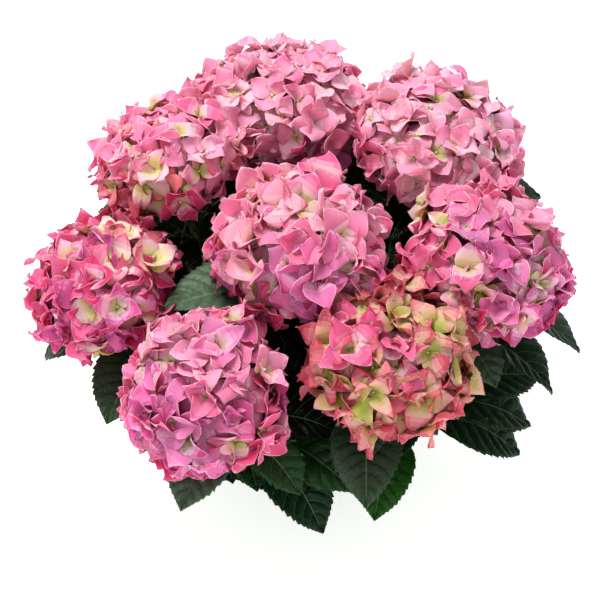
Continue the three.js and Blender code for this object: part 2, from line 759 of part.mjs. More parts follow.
function bloomSolid(head, number) {
  const core = new THREE.IcosahedronGeometry(HEAD.coreShare, HEAD.coreDetail)
    .scale(head.halfWidth, head.halfWidth, head.halfHeight)
    .applyMatrix4(new THREE.Matrix4().makeBasis(head.side, head.across, head.axis))
    .translate(...head.centre);
  const stalk = new THREE.LineCurve3(offset(head.neck, [head.axis, CLEAR]), head.centre);
  const florets = floretsOf(head, number).map(floretSolid);
  return fused([solidOf(core), limb(stalk, 0, 1, () => CANE.tipRadius, CANE.sides, 1), ...florets]);
}

addPiece("short_stem", shortStem(), bark);
const cutter = shortStem(CLEAR);
for (const shoot of shoots) {
  addPiece(`cane_${shoot.name}`, boughSolid(shoot, cutter), bark);
  addPiece(`foliage_${shoot.name}`, foliageSolid(shoot), leafGreen);
}
heads.forEach((head, number) => addPiece(`bloom_${head.name}`, bloomSolid(head, number), petalPink));

export default shrub;
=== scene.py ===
"""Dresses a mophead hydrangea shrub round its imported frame.

Eight flower heads stand on arching canes that rise from one short woody stem. The script repeats the
seeded rule by which the frame's own solids grow, and carries it on to finer parts: florets of four
sepals with their eyes and rays, toothed and quilted leaves, green stems and fissured bark. The rule's
sizes are millimetres, as in the frame's source, and the meshes are made in metres.
"""

from collections.abc import Iterable, Sequence
from dataclasses import dataclass, field
from enum import Enum
import logging
import math
from typing import NamedTuple

import bpy
import numpy as np
from numpy.typing import NDArray
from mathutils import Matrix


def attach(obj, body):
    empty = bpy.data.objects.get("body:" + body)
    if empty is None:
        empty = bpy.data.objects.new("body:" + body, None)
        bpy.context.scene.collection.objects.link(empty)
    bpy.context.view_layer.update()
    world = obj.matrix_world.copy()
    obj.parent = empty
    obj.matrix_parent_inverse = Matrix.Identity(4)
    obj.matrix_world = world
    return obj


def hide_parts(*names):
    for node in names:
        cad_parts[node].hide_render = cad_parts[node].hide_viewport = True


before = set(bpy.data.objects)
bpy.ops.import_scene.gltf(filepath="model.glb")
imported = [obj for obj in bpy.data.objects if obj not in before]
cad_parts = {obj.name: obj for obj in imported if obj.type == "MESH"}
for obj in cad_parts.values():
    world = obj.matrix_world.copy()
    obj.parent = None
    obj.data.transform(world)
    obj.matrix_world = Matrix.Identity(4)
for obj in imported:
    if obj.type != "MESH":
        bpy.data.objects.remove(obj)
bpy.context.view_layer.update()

Array = NDArray[np.float64]
Whole = NDArray[np.int64]

MM = 0.001
GOLDEN_ANGLE = math.pi * (3 - math.sqrt(5))
WORLD_UP = np.array([0.0, 0.0, 1.0])
TINY = 1e-9
ASKEW = np.array([0.31, 0.17, 1.0])  # a direction that none of the lines starts along
WHITE = (1.0, 1.0, 1.0, 1.0)
BODY = "root"

log = logging.getLogger("hydrangea")


# -------------------------------------------------------- vectors and seeded numbers


class Dice:
    """A small seeded generator that gives the same numbers as the one in the frame's source."""

    MASK = 0xFFFFFFFF

    def __init__(self, seed: int) -> None:
        """Starts the sequence.

        Args:
            seed: any whole number.
        """
        self.state = seed & self.MASK

    def __call__(self) -> float:
        """Draws the next number.

        Returns:
            A number from 0 up to 1.
        """
        self.state = (self.state + 0x6D2B79F5) & self.MASK
        mixed = ((self.state ^ (self.state >> 15)) * (self.state | 1)) & self.MASK
        mixed ^= (mixed + (mixed ^ (mixed >> 7)) * (mixed | 61)) & self.MASK
        return (mixed ^ (mixed >> 14)) / (self.MASK + 1)

    def spread(self, amount: float) -> float:
        """Returns a number between minus and plus the amount."""
        return (self() * 2 - 1) * amount


def unit(vectors: Array) -> Array:
    """Returns the vectors at length one, along their last axis."""
    return vectors / np.linalg.norm(vectors, axis=-1, keepdims=True)


def cross(first: Array, second: Array) -> Array:
    """Works out the cross product along the last axis.

    Args:
        first: vectors.
        second: vectors that broadcast with the first.

    Returns:
        The products.
    """
    ax, ay, az = first[..., 0], first[..., 1], first[..., 2]
    bx, by, bz = second[..., 0], second[..., 1], second[..., 2]
    return np.stack([ay * bz - az * by, az * bx - ax * bz, ax * by - ay * bx], axis=-1)


def dot(first: Array, second: Array) -> Array:
    """Returns the dot product along the last axis."""
    return (first * second).sum(axis=-1)


def compass(degrees: float) -> Array:
    """Returns the level direction at a compass angle, counted from +X towards +Y."""
    angle = math.radians(degrees)
    return np.array([math.cos(angle), math.sin(angle), 0.0])


def square_off(axis: Array) -> Array:
    """Returns the unit vector nearest +X that is square to a unit vector, or to each of several."""
    return unit(np.array([1.0, 0.0, 0.0]) - axis * axis[..., :1])


# -------------------------------------------------------- the rule's sizes


@dataclass(frozen=True)
class GlobeRule:
    """How a head's globe is shaped and how its florets are set on it."""

    height_share: float = 0.7
    lean_per_metre: float = 125.0
    neck: float = 12.0
    crowding: float = 1.08
    layers: int = 3
    pushes: int = 4
    push_depth: float = 0.06
    leaf_free: float = 1.04
    pole_shift: float = 0.05
    seed: int = 5000
    seeds_per_head: int = 10


@dataclass(frozen=True)
class CaneRule:
    """The flowering canes."""

    base_ring: float = 18.0
    base_height: float = 34.0
    base_radius: float = 6.0
    tip_radius: float = 3.4
    bough_end: float = 0.5
    rise: float = 95.0
    spread: float = 26.0
    neck_pull: float = 85.0


@dataclass(frozen=True)
class SideRule:
    """The low leafy side shoots."""

    base_radius: float = 4.6
    tip_radius: float = 2.6
    ring_radius: float = 22.0
    ring_height: float = 14.0
    leave_out: float = 0.5
    leave_up: float = 0.12
    arrive_out: float = 0.12
    arrive_up: float = 0.45
    bough_end: float = 0.38


@dataclass(frozen=True)
class LeafRule:
    """A leaf's outline and bearing, and the room that it needs."""

    width_share: float = 0.62
    base_power: float = 0.6
    tip_power: float = 0.9
    stalk: float = 26.0
    stalk_radius: float = 1.9
    droop: float = 62.0
    fold: float = 11.0
    rows: tuple[float, ...] = (0.2, 0.5, 0.8)
    roll: float = 12.0
    size_sway: float = 0.08
    clear: float = 3.0
    stalk_clear: float = 1.5
    reach_share: float = 0.6
    tries: int = 12
    turn: float = 8.0
    lift: float = 4.0
    shorten: float = 0.965
    pair_turn: float = 90.0  # each pair stands crosswise to the next
    seed: int = 1000
    seeds_per_shoot: int = 100
    seeds_per_pair: int = 10


@dataclass(frozen=True)
class SkirtRule:
    """The bowl, open upwards, that the paired leaves keep to."""

    lowest: float = 12.0
    foot_reach: float = 80.0
    slope: float = 0.74
    widest: float = 262.0
    back: float = 34.0


GLOBE = GlobeRule()
CANE = CaneRule()
SIDE = SideRule()
LEAF = LeafRule()
SKIRT = SkirtRule()
LINE_STEPS = 12


class LeafTone(Enum):
    """The plain colours of the leaves, as sRGB values. Some of them are painted light and shade: the pale
    and grey greens are partly a painted sheen, the bright green is a painted lit leaf and the shade green
    is painted shadow.
    """

    # Painted light: the grey-green sheen of light on a leaf's upper side.
    SHEEN_PALE_GREEN = (98, 122, 100)
    # Partly the leaves' own grey-green, partly a painted sheen of light.
    SHEEN_GREY_GREEN = (76, 98, 78)
    DEEP_GREEN = (38, 66, 42)
    MID_GREEN = (52, 84, 52)
    # Painted light: a leaf painted brighter, as if lit more than the rest.
    LIT_BRIGHT_GREEN = (52, 98, 40)
    # Painted shade: the near-black of leaves deep in the shrub's shadow.
    SHADE_GREEN = (14, 24, 16)
    VEIN = (92, 120, 88)
    MIDRIB = (124, 150, 114)
    UNDERSIDE = (112, 140, 100)


class Pair(NamedTuple):
    """A pair of leaves: its place along the shoot, the blades' length and the stalks' pitch."""

    along: float
    length: float
    pitch: float


CANE_PAIRS = (Pair(0.56, 112, 16), Pair(0.7, 118, 16), Pair(0.84, 114, 14), Pair(0.965, 102, 10))
SIDE_PAIRS = (Pair(0.44, 84, 26), Pair(0.63, 98, 26), Pair(0.81, 102, 26), Pair(0.985, 84, 40))

# The finer leaves, in the gaps that the rule's own leaves leave.
FINER_CLEAR = 1.2
FINER_SEED = 7000
FINER_TURN = 45.0
FINER_CANE = (Pair(0.53, 74, 12), Pair(0.63, 78, 14), Pair(0.77, 78, 16), Pair(0.9, 76, 18),
              Pair(0.99, 84, 16))
FINER_SIDE = (Pair(0.4, 60, 14), Pair(0.53, 66, 18), Pair(0.72, 66, 22), Pair(0.9, 70, 26),
              Pair(0.995, 84, 34))


class SideRow(NamedTuple):
    """A side shoot: compass direction, how far out and how high its tip stands, and its turn."""

    toward: float
    out: float
    high: float
    turn: float


SIDE_ROWS = (
    SideRow(18, 112, 188, 60),
    SideRow(70, 112, 190, 20),
    SideRow(118, 112, 192, 70),
    SideRow(168, 116, 190, 120),
    SideRow(220, 104, 186, 175),
    SideRow(272, 84, 176, 230),
    SideRow(331, 122, 186, 20),
)


class OpenRow(NamedTuple):
    """A leaf that stands open: its shoot, place along it, direction, bearing in degrees and tone."""

    shoot: str
    along: float
    toward: float
    pitch: float
    droop: float
    roll: float
    length: float
    tone: LeafTone = LeafTone.DEEP_GREEN


OPEN_ROWS = (
    OpenRow("middle", 0.965, 200, 31, 40, 8, 118, LeafTone.SHEEN_PALE_GREEN),
    # This leaf lies in the shade between the heads and is painted near-black as that shade.
    OpenRow("middle", 0.56, 281, 18, 60, 0, 116, LeafTone.SHADE_GREEN),
    OpenRow("front_left", 0.84, 248, 30, 62, 0, 100, LeafTone.SHEEN_PALE_GREEN),
    OpenRow("front_left", 0.7, 321, 30, 60, 0, 120, LeafTone.MID_GREEN),
    OpenRow("front_left", 0.56, 306, 4, 60, 0, 104),
    OpenRow("front_right", 0.84, 269, 25, 60, 0, 104, LeafTone.SHEEN_GREY_GREEN),
    OpenRow("side_7", 0.82, 257, 10, 60, 0, 92, LeafTone.LIT_BRIGHT_GREEN),
    OpenRow("side_7", 0.985, 14, 15, 45, 0, 118),
    OpenRow("side_7", 0.9, 352, 1, 60, 0, 112),
    OpenRow("right", 0.84, 343, 8, 60, -25, 116),
    OpenRow("right", 0.965, 355, 10, 60, -25, 116, LeafTone.SHEEN_GREY_GREEN),
    OpenRow("left", 0.84, 249, 31, 60, 0, 104, LeafTone.SHEEN_GREY_GREEN),
    OpenRow("left", 0.965, 172, -9, 60, 0, 100, LeafTone.MID_GREEN),
    OpenRow("back_right", 0.965, 10, 20, 60, 0, 112, LeafTone.SHEEN_GREY_GREEN),
    OpenRow("back_right", 0.7, 81, 25, 40, 0, 100),
)


# The finer leaves that close the gaps between the heads.
FINER_OPEN_ROWS = (
    OpenRow("back", 0.93, 355, 12, 50, 0, 84),
    OpenRow("back", 0.9, 190, 10, 50, 0, 84),
    OpenRow("back", 0.9, 215, 10, 50, 0, 84),
    OpenRow("back_left", 0.93, 345, 8, 50, 0, 84),
    OpenRow("back_left", 0.96, 35, 8, 50, 0, 88),
    OpenRow("back_left", 0.985, 330, -4, 50, 0, 72),
    OpenRow("back_right", 0.95, 150, 8, 45, 0, 96),
    OpenRow("back_right", 0.9, 160, 10, 45, 0, 92),
    OpenRow("back", 0.88, 8, 14, 50, 0, 80),
    OpenRow("back_right", 0.9, 185, 10, 50, 0, 88),
    OpenRow("back_right", 0.93, 215, 8, 50, 0, 84),
    OpenRow("back_left", 0.8, 87, 0, 50, 0, 110),
    OpenRow("back_left", 0.85, 110, 5, 50, 0, 100),
    OpenRow("back", 0.75, 192, 0, 50, 0, 110),
    OpenRow("back_left", 0.75, 105, 20, 50, 0, 80),
    OpenRow("back_left", 0.75, 135, 5, 50, 0, 80),
    OpenRow("back_right", 0.99, 150, 25, 50, 0, 80),
    OpenRow("middle", 0.9, 60, 10, 50, 0, 84),
    OpenRow("middle", 0.9, 120, 10, 50, 0, 84),
    OpenRow("right", 0.9, 180, 10, 50, 0, 84),
    OpenRow("side_7", 0.94, 3, 6, 60, 0, 100),
    OpenRow("side_7", 0.97, 358, 8, 60, 0, 112),
    OpenRow("left", 0.9, 30, 10, 50, 0, 84),
    OpenRow("front_left", 0.9, 70, 10, 50, 0, 84),
    OpenRow("front_right", 0.9, 100, 10, 50, 0, 84),
)


# -------------------------------------------------------- tints and finishes


class Hue(Enum):
    """A sepal's family of colours."""

    PINK = 0
    # Mauve: partly the sepals' own hue and partly painted shade, dealt to florets that face low and
    # forward.
    MAUVE_PAINTED_SHADE = 1
    CORAL = 2
    CREAM = 3


SHADES = 10  # a hue's shades: five from the greenish heart outwards, and five of the blade
HEART_SHADES = 5

SEPAL_COLOURS: dict[Hue, tuple[tuple[int, int, int], ...]] = {
    Hue.PINK: ((190, 198, 112), (206, 202, 134), (224, 200, 156), (240, 198, 180), (248, 194, 198),
               (250, 192, 208), (246, 164, 190), (241, 142, 174), (231, 116, 154), (208, 84, 126)),
    Hue.MAUVE_PAINTED_SHADE: ((192, 198, 126), (208, 200, 150), (222, 196, 174), (236, 190, 190), (244, 186, 204),
                (244, 180, 208), (237, 156, 192), (227, 132, 176), (208, 108, 158), (180, 80, 130)),
    Hue.CORAL: ((178, 184, 92), (190, 190, 106), (204, 190, 124), (220, 188, 144), (234, 186, 160),
                (240, 180, 170), (234, 158, 156), (226, 138, 144), (214, 116, 130), (192, 92, 108)),
    Hue.CREAM: ((184, 194, 104), (202, 202, 124), (220, 208, 148), (236, 212, 174), (246, 210, 192),
                (250, 208, 206), (246, 186, 196), (242, 166, 184), (236, 142, 166), (218, 112, 142)),
}


def linear(colour: tuple[int, int, int]) -> tuple[float, float, float, float]:
    """Turns an sRGB colour into linear light.

    Args:
        colour: whole numbers up to 255.

    Returns:
        Red, green and blue from 0 to 1, with full alpha.
    """
    shares = [c / 255 for c in colour]
    light = [s / 12.92 if s <= 0.04045 else ((s + 0.055) / 1.055) ** 2.4 for s in shares]
    return (light[0], light[1], light[2], 1.0)


class NodeTree:
    """A material's node tree round its Principled shader, with short ways to add to it."""

    def __init__(self, name: str, roughness: float) -> None:
        """Makes the material.

        Args:
            name: the material's name.
            roughness: the shader's plain roughness.
        """
        self.material = bpy.data.materials.new(name)
        self.material.use_nodes = True
        self.tree = self.material.node_tree
        self.shader = self.tree.nodes["Principled BSDF"]
        self.set("Roughness", roughness)

    def set(self, socket: str, value: float | tuple[float, ...]) -> None:
        """Gives one of the shader's sockets a plain value."""
        self.shader.inputs[socket].default_value = value

    def add(self, kind: str, **values: float | str | bool) -> bpy.types.Node:
        """Adds a node.

        Args:
            kind: the node's type name.
            **values: attributes of the node, or its inputs by name with _ for a space.

        Returns:
            The new node.
        """
        node = self.tree.nodes.new(kind)
        for key, value in values.items():
            label = key.replace("_", " ")
            if label in node.inputs:
                node.inputs[label].default_value = value
            else:
                setattr(node, key, value)
        return node

    def link(self, source: bpy.types.NodeSocket, target: bpy.types.NodeSocket) -> None:
        """Joins two sockets."""
        self.tree.links.new(source, target)

    def position(self, stretch: tuple[float, float, float] = (1, 1, 1)) -> bpy.types.NodeSocket:
        """Adds object coordinates in metres.

        Args:
            stretch: how much they are stretched along each axis.

        Returns:
            The socket that gives them.
        """
        place = self.add("ShaderNodeTexCoord")
        mapping = self.add("ShaderNodeMapping")
        mapping.inputs["Scale"].default_value = stretch
        self.link(place.outputs["Object"], mapping.inputs["Vector"])
        return mapping.outputs["Vector"]

    def noise(self, place: bpy.types.NodeSocket, scale: float, detail: float = 3) -> bpy.types.Node:
        """Adds a noise texture.

        Args:
            place: the socket of the place that it reads.
            scale: its scale, per metre.
            detail: how many finer layers it has.

        Returns:
            The texture's node.
        """
        node = self.add("ShaderNodeTexNoise", Scale=scale, Detail=detail)
        self.link(place, node.inputs["Vector"])
        return node

    def bump(self, height: bpy.types.NodeSocket, strength: float, depth: float) -> None:
        """Gives the shader a bump.

        Args:
            height: the socket with the height.
            strength: from 0 to 1.
            depth: how deep the relief is, in metres.
        """
        bump = self.add("ShaderNodeBump", Strength=strength, Distance=depth)
        self.link(height, bump.inputs["Height"])
        self.link(bump.outputs["Normal"], self.shader.inputs["Normal"])

    def rough_between(self, height: bpy.types.NodeSocket, low: float, high: float) -> None:
        """Lets the roughness follow a height.

        Args:
            height: the socket with the height, from 0 to 1.
            low: the roughness at 0.
            high: the roughness at 1.
        """
        spread = self.add("ShaderNodeMapRange")
        spread.inputs["To Min"].default_value = low
        spread.inputs["To Max"].default_value = high
        self.link(height, spread.inputs["Value"])
        self.link(spread.outputs["Result"], self.shader.inputs["Roughness"])


@dataclass(frozen=True)
class SepalFinish:
    """Thin, soft sepals that let a little light through, with a faint crinkle."""

    roughness: tuple[float, float] = (0.54, 0.66)
    crinkle_scale: float = 300.0
    crinkle_depth: float = 0.00015
    crinkle_strength: float = 0.35
    subsurface: float = 0.5
    subsurface_depth: float = 0.0035
    subsurface_radius: tuple[float, float, float] = (1.0, 0.45, 0.5)
    specular: float = 0.25

    def make(self, name: str, colour: tuple[int, int, int]) -> bpy.types.Material:
        """Makes one shade.

        Args:
            name: the material's name.
            colour: the sRGB colour.

        Returns:
            The material.
        """
        nodes = NodeTree(name, self.roughness[0])
        nodes.set("Base Color", linear(colour))
        nodes.set("Subsurface Weight", self.subsurface)
        nodes.set("Subsurface Radius", self.subsurface_radius)
        nodes.set("Subsurface Scale", self.subsurface_depth)
        nodes.set("Specular IOR Level", self.specular)
        crinkle = nodes.noise(nodes.position(), self.crinkle_scale)
        nodes.rough_between(crinkle.outputs["Fac"], *self.roughness)
        nodes.bump(crinkle.outputs["Fac"], self.crinkle_strength, self.crinkle_depth)
        return nodes.material

    def palette(self) -> list[bpy.types.Material]:
        """Returns every hue's shades in the order of Hue, pale to deep."""
        return [
            self.make(f"sepal_{hue.name.lower()}_{shade + 1}", colour)
            for hue in Hue
            for shade, colour in enumerate(SEPAL_COLOURS[hue])
        ]


@dataclass(frozen=True)
class LeafFinish:
    """A leaf's skin: fine cells between the veins and a soft, uneven gloss."""

    roughness: tuple[float, float] = (0.36, 0.52)
    cell_scale: float = 260.0
    cell_depth: float = 0.0015
    cell_strength: float = 0.6
    patch_scale: float = 60.0
    subsurface: float = 0.08
    subsurface_depth: float = 0.0015
    subsurface_radius: tuple[float, float, float] = (0.5, 1.0, 0.2)
    specular: float = 0.3

    def make(self, tone: LeafTone) -> bpy.types.Material:
        """Makes the material of one tone.

        Args:
            tone: the tone.

        Returns:
            The material.
        """
        nodes = NodeTree(f"leaf_{tone.name.lower()}", self.roughness[0])
        nodes.set("Base Color", linear(tone.value))
        nodes.set("Subsurface Weight", self.subsurface)
        nodes.set("Subsurface Radius", self.subsurface_radius)
        nodes.set("Specular IOR Level", self.specular)
        nodes.set("Subsurface Scale", self.subsurface_depth)
        place = nodes.position()
        cells = nodes.add("ShaderNodeTexVoronoi", feature="SMOOTH_F1", Scale=self.cell_scale)
        nodes.link(place, cells.inputs["Vector"])
        patches = nodes.noise(place, self.patch_scale)
        nodes.rough_between(patches.outputs["Fac"], *self.roughness)
        nodes.bump(cells.outputs["Distance"], self.cell_strength, self.cell_depth)
        return nodes.material

    def palette(self) -> list[bpy.types.Material]:
        """Returns the materials of all tones in the order of LeafTone."""
        return [self.make(tone) for tone in LeafTone]


@dataclass(frozen=True)
class MottledFinish:
    """A skin whose colour drifts between two tones, with streaks along the upright: bark or stem."""

    name: str
    dark: tuple[int, int, int]
    light: tuple[int, int, int]
    scale: float
    squeeze: float
    depth: float
    roughness: float
    strength: float = 0.6
    detail: float = 6.0
    ramp: tuple[float, float] = (0.35, 0.65)

    def make(self) -> bpy.types.Material:
        """Makes the material.

        Returns:
            The material.
        """
        nodes = NodeTree(self.name, self.roughness)
        streaks = nodes.noise(nodes.position((1, 1, self.squeeze)), self.scale, self.detail)
        ramp = nodes.add("ShaderNodeValToRGB")
        for stop, place, tone in zip(ramp.color_ramp.elements, self.ramp, (self.dark, self.light)):
            stop.position = place
            stop.color = linear(tone)
        nodes.link(streaks.outputs["Fac"], ramp.inputs["Fac"])
        nodes.link(ramp.outputs["Color"], nodes.shader.inputs["Base Color"])
        nodes.bump(streaks.outputs["Fac"], self.strength, self.depth)
        return nodes.material


BARK = MottledFinish("bark", (66, 50, 38), (142, 118, 92), 260.0, 0.12, 0.001, 0.85)
STEM = MottledFinish("green_stem", (74, 96, 44), (112, 134, 70), 320.0, 0.15, 0.0003, 0.55)
RAY = MottledFinish("flower_ray", (150, 164, 96), (196, 178, 130), 300.0, 0.4, 0.0002, 0.6)
EYE = MottledFinish("floret_eye", (196, 206, 150), (236, 228, 196), 500.0, 1.0, 0.0002, 0.55)


# -------------------------------------------------------- meshes


class Sheaf:
    """Many small things gathered into one mesh, each face with the number of its finish."""

    def __init__(self) -> None:
        """Starts empty."""
        self.points: list[Array] = []
        self.faces: list[Whole] = []
        self.finishes: list[Whole] = []
        self.count = 0

    def add(self, points: Array, faces: Whole, finishes: Whole | int = 0) -> None:
        """Adds a thing, or many alike.

        Args:
            points: (..., 3) points in millimetres.
            faces: (n, 4) corner numbers within the points, the last one -1 in a triangle.
            finishes: a finish number for all faces or for each.
        """
        flat = points.reshape(-1, 3)
        self.points.append(flat)
        self.faces.append(np.where(faces < 0, -1, faces + self.count))
        self.finishes.append(np.broadcast_to(np.asarray(finishes), (len(faces),)))
        self.count += len(flat)

    def piece(self, name: str, materials: Sequence[bpy.types.Material]) -> bpy.types.Object:
        """Makes the smooth-shaded object.

        Args:
            name: the piece's name.
            materials: its finishes, in the order of their numbers.

        Returns:
            The new object, linked to the scene.
        """
        faces = np.concatenate(self.faces)
        corners = np.where(faces[:, 3] < 0, 3, 4)
        loops = faces[faces >= 0]
        mesh = bpy.data.meshes.new(name)
        mesh.vertices.add(self.count)
        mesh.vertices.foreach_set("co", (np.concatenate(self.points) * MM).ravel())
        mesh.loops.add(len(loops))
        mesh.loops.foreach_set("vertex_index", loops.astype(np.int32))
        mesh.polygons.add(len(faces))
        starts = np.concatenate([[0], np.cumsum(corners)[:-1]])
        mesh.polygons.foreach_set("loop_start", starts.astype(np.int32))
        used, numbers = np.unique(np.concatenate(self.finishes), return_inverse=True)
        mesh.polygons.foreach_set("material_index", numbers.astype(np.int32))
        mesh.polygons.foreach_set("use_smooth", np.ones(len(faces), dtype=bool))
        for number in used:
            mesh.materials.append(materials[number])
        mesh.update(calc_edges=True)
        piece = bpy.data.objects.new(name, mesh)
        bpy.context.scene.collection.objects.link(piece)
        return piece


def settle(piece: bpy.types.Object, slot: str, *nodes: str) -> None:
    """Lets a piece ride on the shrub and stand for the frame's nodes, whose parts it hides.

    Args:
        piece: the finished object.
        slot: not used.
        *nodes: the nodes that it replaces.
    """
    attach(piece, BODY)
    if nodes:
        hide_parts(*nodes)
    log.info("%s: %d faces", piece.name, len(piece.data.polygons))


class Skin(NamedTuple):
    """The faces of a thin closed sheet whose upper and lower grids share their rim."""

    faces: Whole
    inner: Whole


def skin_faces(rows: int, columns: int) -> Skin:
    """Works out the faces of a closed sheet over a grid.

    Args:
        rows: grid points along the sheet.
        columns: grid points across it.

    Returns:
        The upper and then the lower faces, and the grid numbers that the lower side repeats.
    """
    upper = np.arange(rows * columns).reshape(rows, columns)
    lower = upper.copy()
    inner = upper[1:-1, 1:-1]
    lower[1:-1, 1:-1] = rows * columns + np.arange(inner.size).reshape(inner.shape)

    def cells(grid: Whole) -> Whole:
        """Returns a grid's cells as faces that face up."""
        corners = (grid[:-1, :-1], grid[:-1, 1:], grid[1:, 1:], grid[1:, :-1])
        return np.stack([c.ravel() for c in corners], axis=1)

    return Skin(np.concatenate([cells(upper), cells(lower)[:, ::-1]]), inner.ravel())


def sheet_points(grid: Array, skin: Skin, thickness: float) -> Array:
    """Gives sheets their lower side.

    Args:
        grid: (many, rows, columns, 3) points of the upper side.
        skin: the faces that the points are for.
        thickness: how far the lower side lies below the upper one.

    Returns:
        (many, points, 3) points for the skin's faces.
    """
    along = np.gradient(grid, axis=1)
    across = np.gradient(grid, axis=2)
    normal = unit(cross(across, along))
    flat = grid.reshape(len(grid), -1, 3)
    below = flat - normal.reshape(flat.shape) * thickness
    return np.concatenate([flat, below[:, skin.inner]], axis=1)


def drum_faces(rings: int, sides: int) -> Whole:
    """Works out the faces of a closed round body made of rings.

    Args:
        rings: the number of rings.
        sides: points round each.

    Returns:
        The walls, and then the fans that close both ends.
    """
    grid = np.arange(rings * sides).reshape(rings, sides)
    around = np.roll(grid, -1, axis=1)
    walls = np.stack([grid[:-1], around[:-1], around[1:], grid[1:]], axis=-1).reshape(-1, 4)
    fans = [[grid[0, 0], grid[0, k + 1], grid[0, k], -1] for k in range(1, sides - 1)]
    fans += [[grid[-1, 0], grid[-1, k], grid[-1, k + 1], -1] for k in range(1, sides - 1)]
    return np.concatenate([walls, np.array(fans)])


def tube(centres: Array, radii: Array, sides: int) -> tuple[Array, Whole]:
    """Makes a closed round tube along a line, or many alike.

    Args:
        centres: (..., steps, 3) points of the middle line.
        radii: (steps,) or (many, steps) radius at each, or (many, steps, sides) for each side.
        sides: points round the tube.

    Returns:
        The points, (many, steps, sides, 3), and the faces of one tube.
    """
    centres = centres.reshape(-1, *centres.shape[-2:])
    steps = centres.shape[1]
    tangent = unit(np.gradient(centres, axis=1))
    side = np.zeros_like(centres)
    side[:, 0] = unit(np.cross(tangent[:, 0], ASKEW))
    for i in range(1, steps):
        last = side[:, i - 1]
        side[:, i] = unit(last - tangent[:, i] * dot(last, tangent[:, i])[:, None])
    across = cross(tangent, side)
    angle = np.arange(sides) * 2 * math.pi / sides
    ring = side[:, :, None] * np.cos(angle)[:, None] + across[:, :, None] * np.sin(angle)[:, None]
    size = radii[..., None, None] if radii.ndim < 3 else radii[..., None]
    return centres[:, :, None] + ring * size, drum_faces(steps, sides)


def repeated(faces: Whole, points_each: int, many: int) -> Whole:
    """Repeats one thing's faces for many alike, with -1 kept where a face has three corners.

    Args:
        faces: (n, 4) corner numbers of one.
        points_each: the number of points of one.
        many: how many there are.

    Returns:
        (many * n, 4) corner numbers.
    """
    shifts = np.arange(many)[:, None, None] * points_each
    all_faces = np.where(faces[None] < 0, -1, faces[None] + shifts)
    return all_faces.reshape(-1, faces.shape[1])


# -------------------------------------------------------- growing: paths, heads, shoots


class Cubic:
    """A cubic Bezier curve, with its tangent taken as the frame's source takes it."""

    STEP = 1e-4

    def __init__(self, *knots: Array) -> None:
        """Keeps the curve's four knots."""
        self.knots = np.stack(knots)

    def at(self, share: float | Array) -> Array:
        """Works out points of the curve.

        Args:
            share: a share of the curve's parameter, or many.

        Returns:
            The point, or the points.
        """
        t = np.asarray(share, dtype=float)[..., None]
        p0, p1, p2, p3 = self.knots
        s = 1 - t
        return s**3 * p0 + 3 * s * s * t * p1 + 3 * s * t * t * p2 + t**3 * p3

    def tangent(self, share: float) -> Array:
        """Returns the unit tangent at a share of the curve's parameter."""
        low, high = max(share - self.STEP, 0.0), min(share + self.STEP, 1.0)
        return unit(self.at(high) - self.at(low))


@dataclass(frozen=True)
class Blush:
    """A patch of another hue on a head: the world direction that it faces, its spread and its share.

    The florets in it have hearts as many times larger as its last value says.
    """

    hue: Hue
    toward: float
    lift: float
    spread: float
    share: float
    heart: float = 1.0

    def odds(self, facing: Array) -> float:
        """Works out how likely a floret is to take this hue.

        Args:
            facing: the direction that it faces.

        Returns:
            A chance from 0 to 1.
        """
        rise = math.radians(self.lift)
        centre = compass(self.toward) * math.cos(rise) + WORLD_UP * math.sin(rise)
        angle = math.degrees(math.acos(float(np.clip(dot(facing, centre), -1, 1))))
        return self.share * max(0.0, 1 - angle / self.spread) ** 0.5


@dataclass(frozen=True)
class HeadRow:
    """A flower head: where its centre stands, its sizes and how it is tinted.

    Its florets stand on a globe that is eased off the frame's by three millimetre values and a share.
    """

    name: str
    at: tuple[float, float, float]
    half_width: float
    turn: float
    florets: int
    sepal: float
    hue: Hue
    depth: float
    heart: float
    heart_reach: float
    breadth: float
    relief: float
    ease: tuple[float, float, float, float]
    blushes: tuple[Blush, ...] = ()


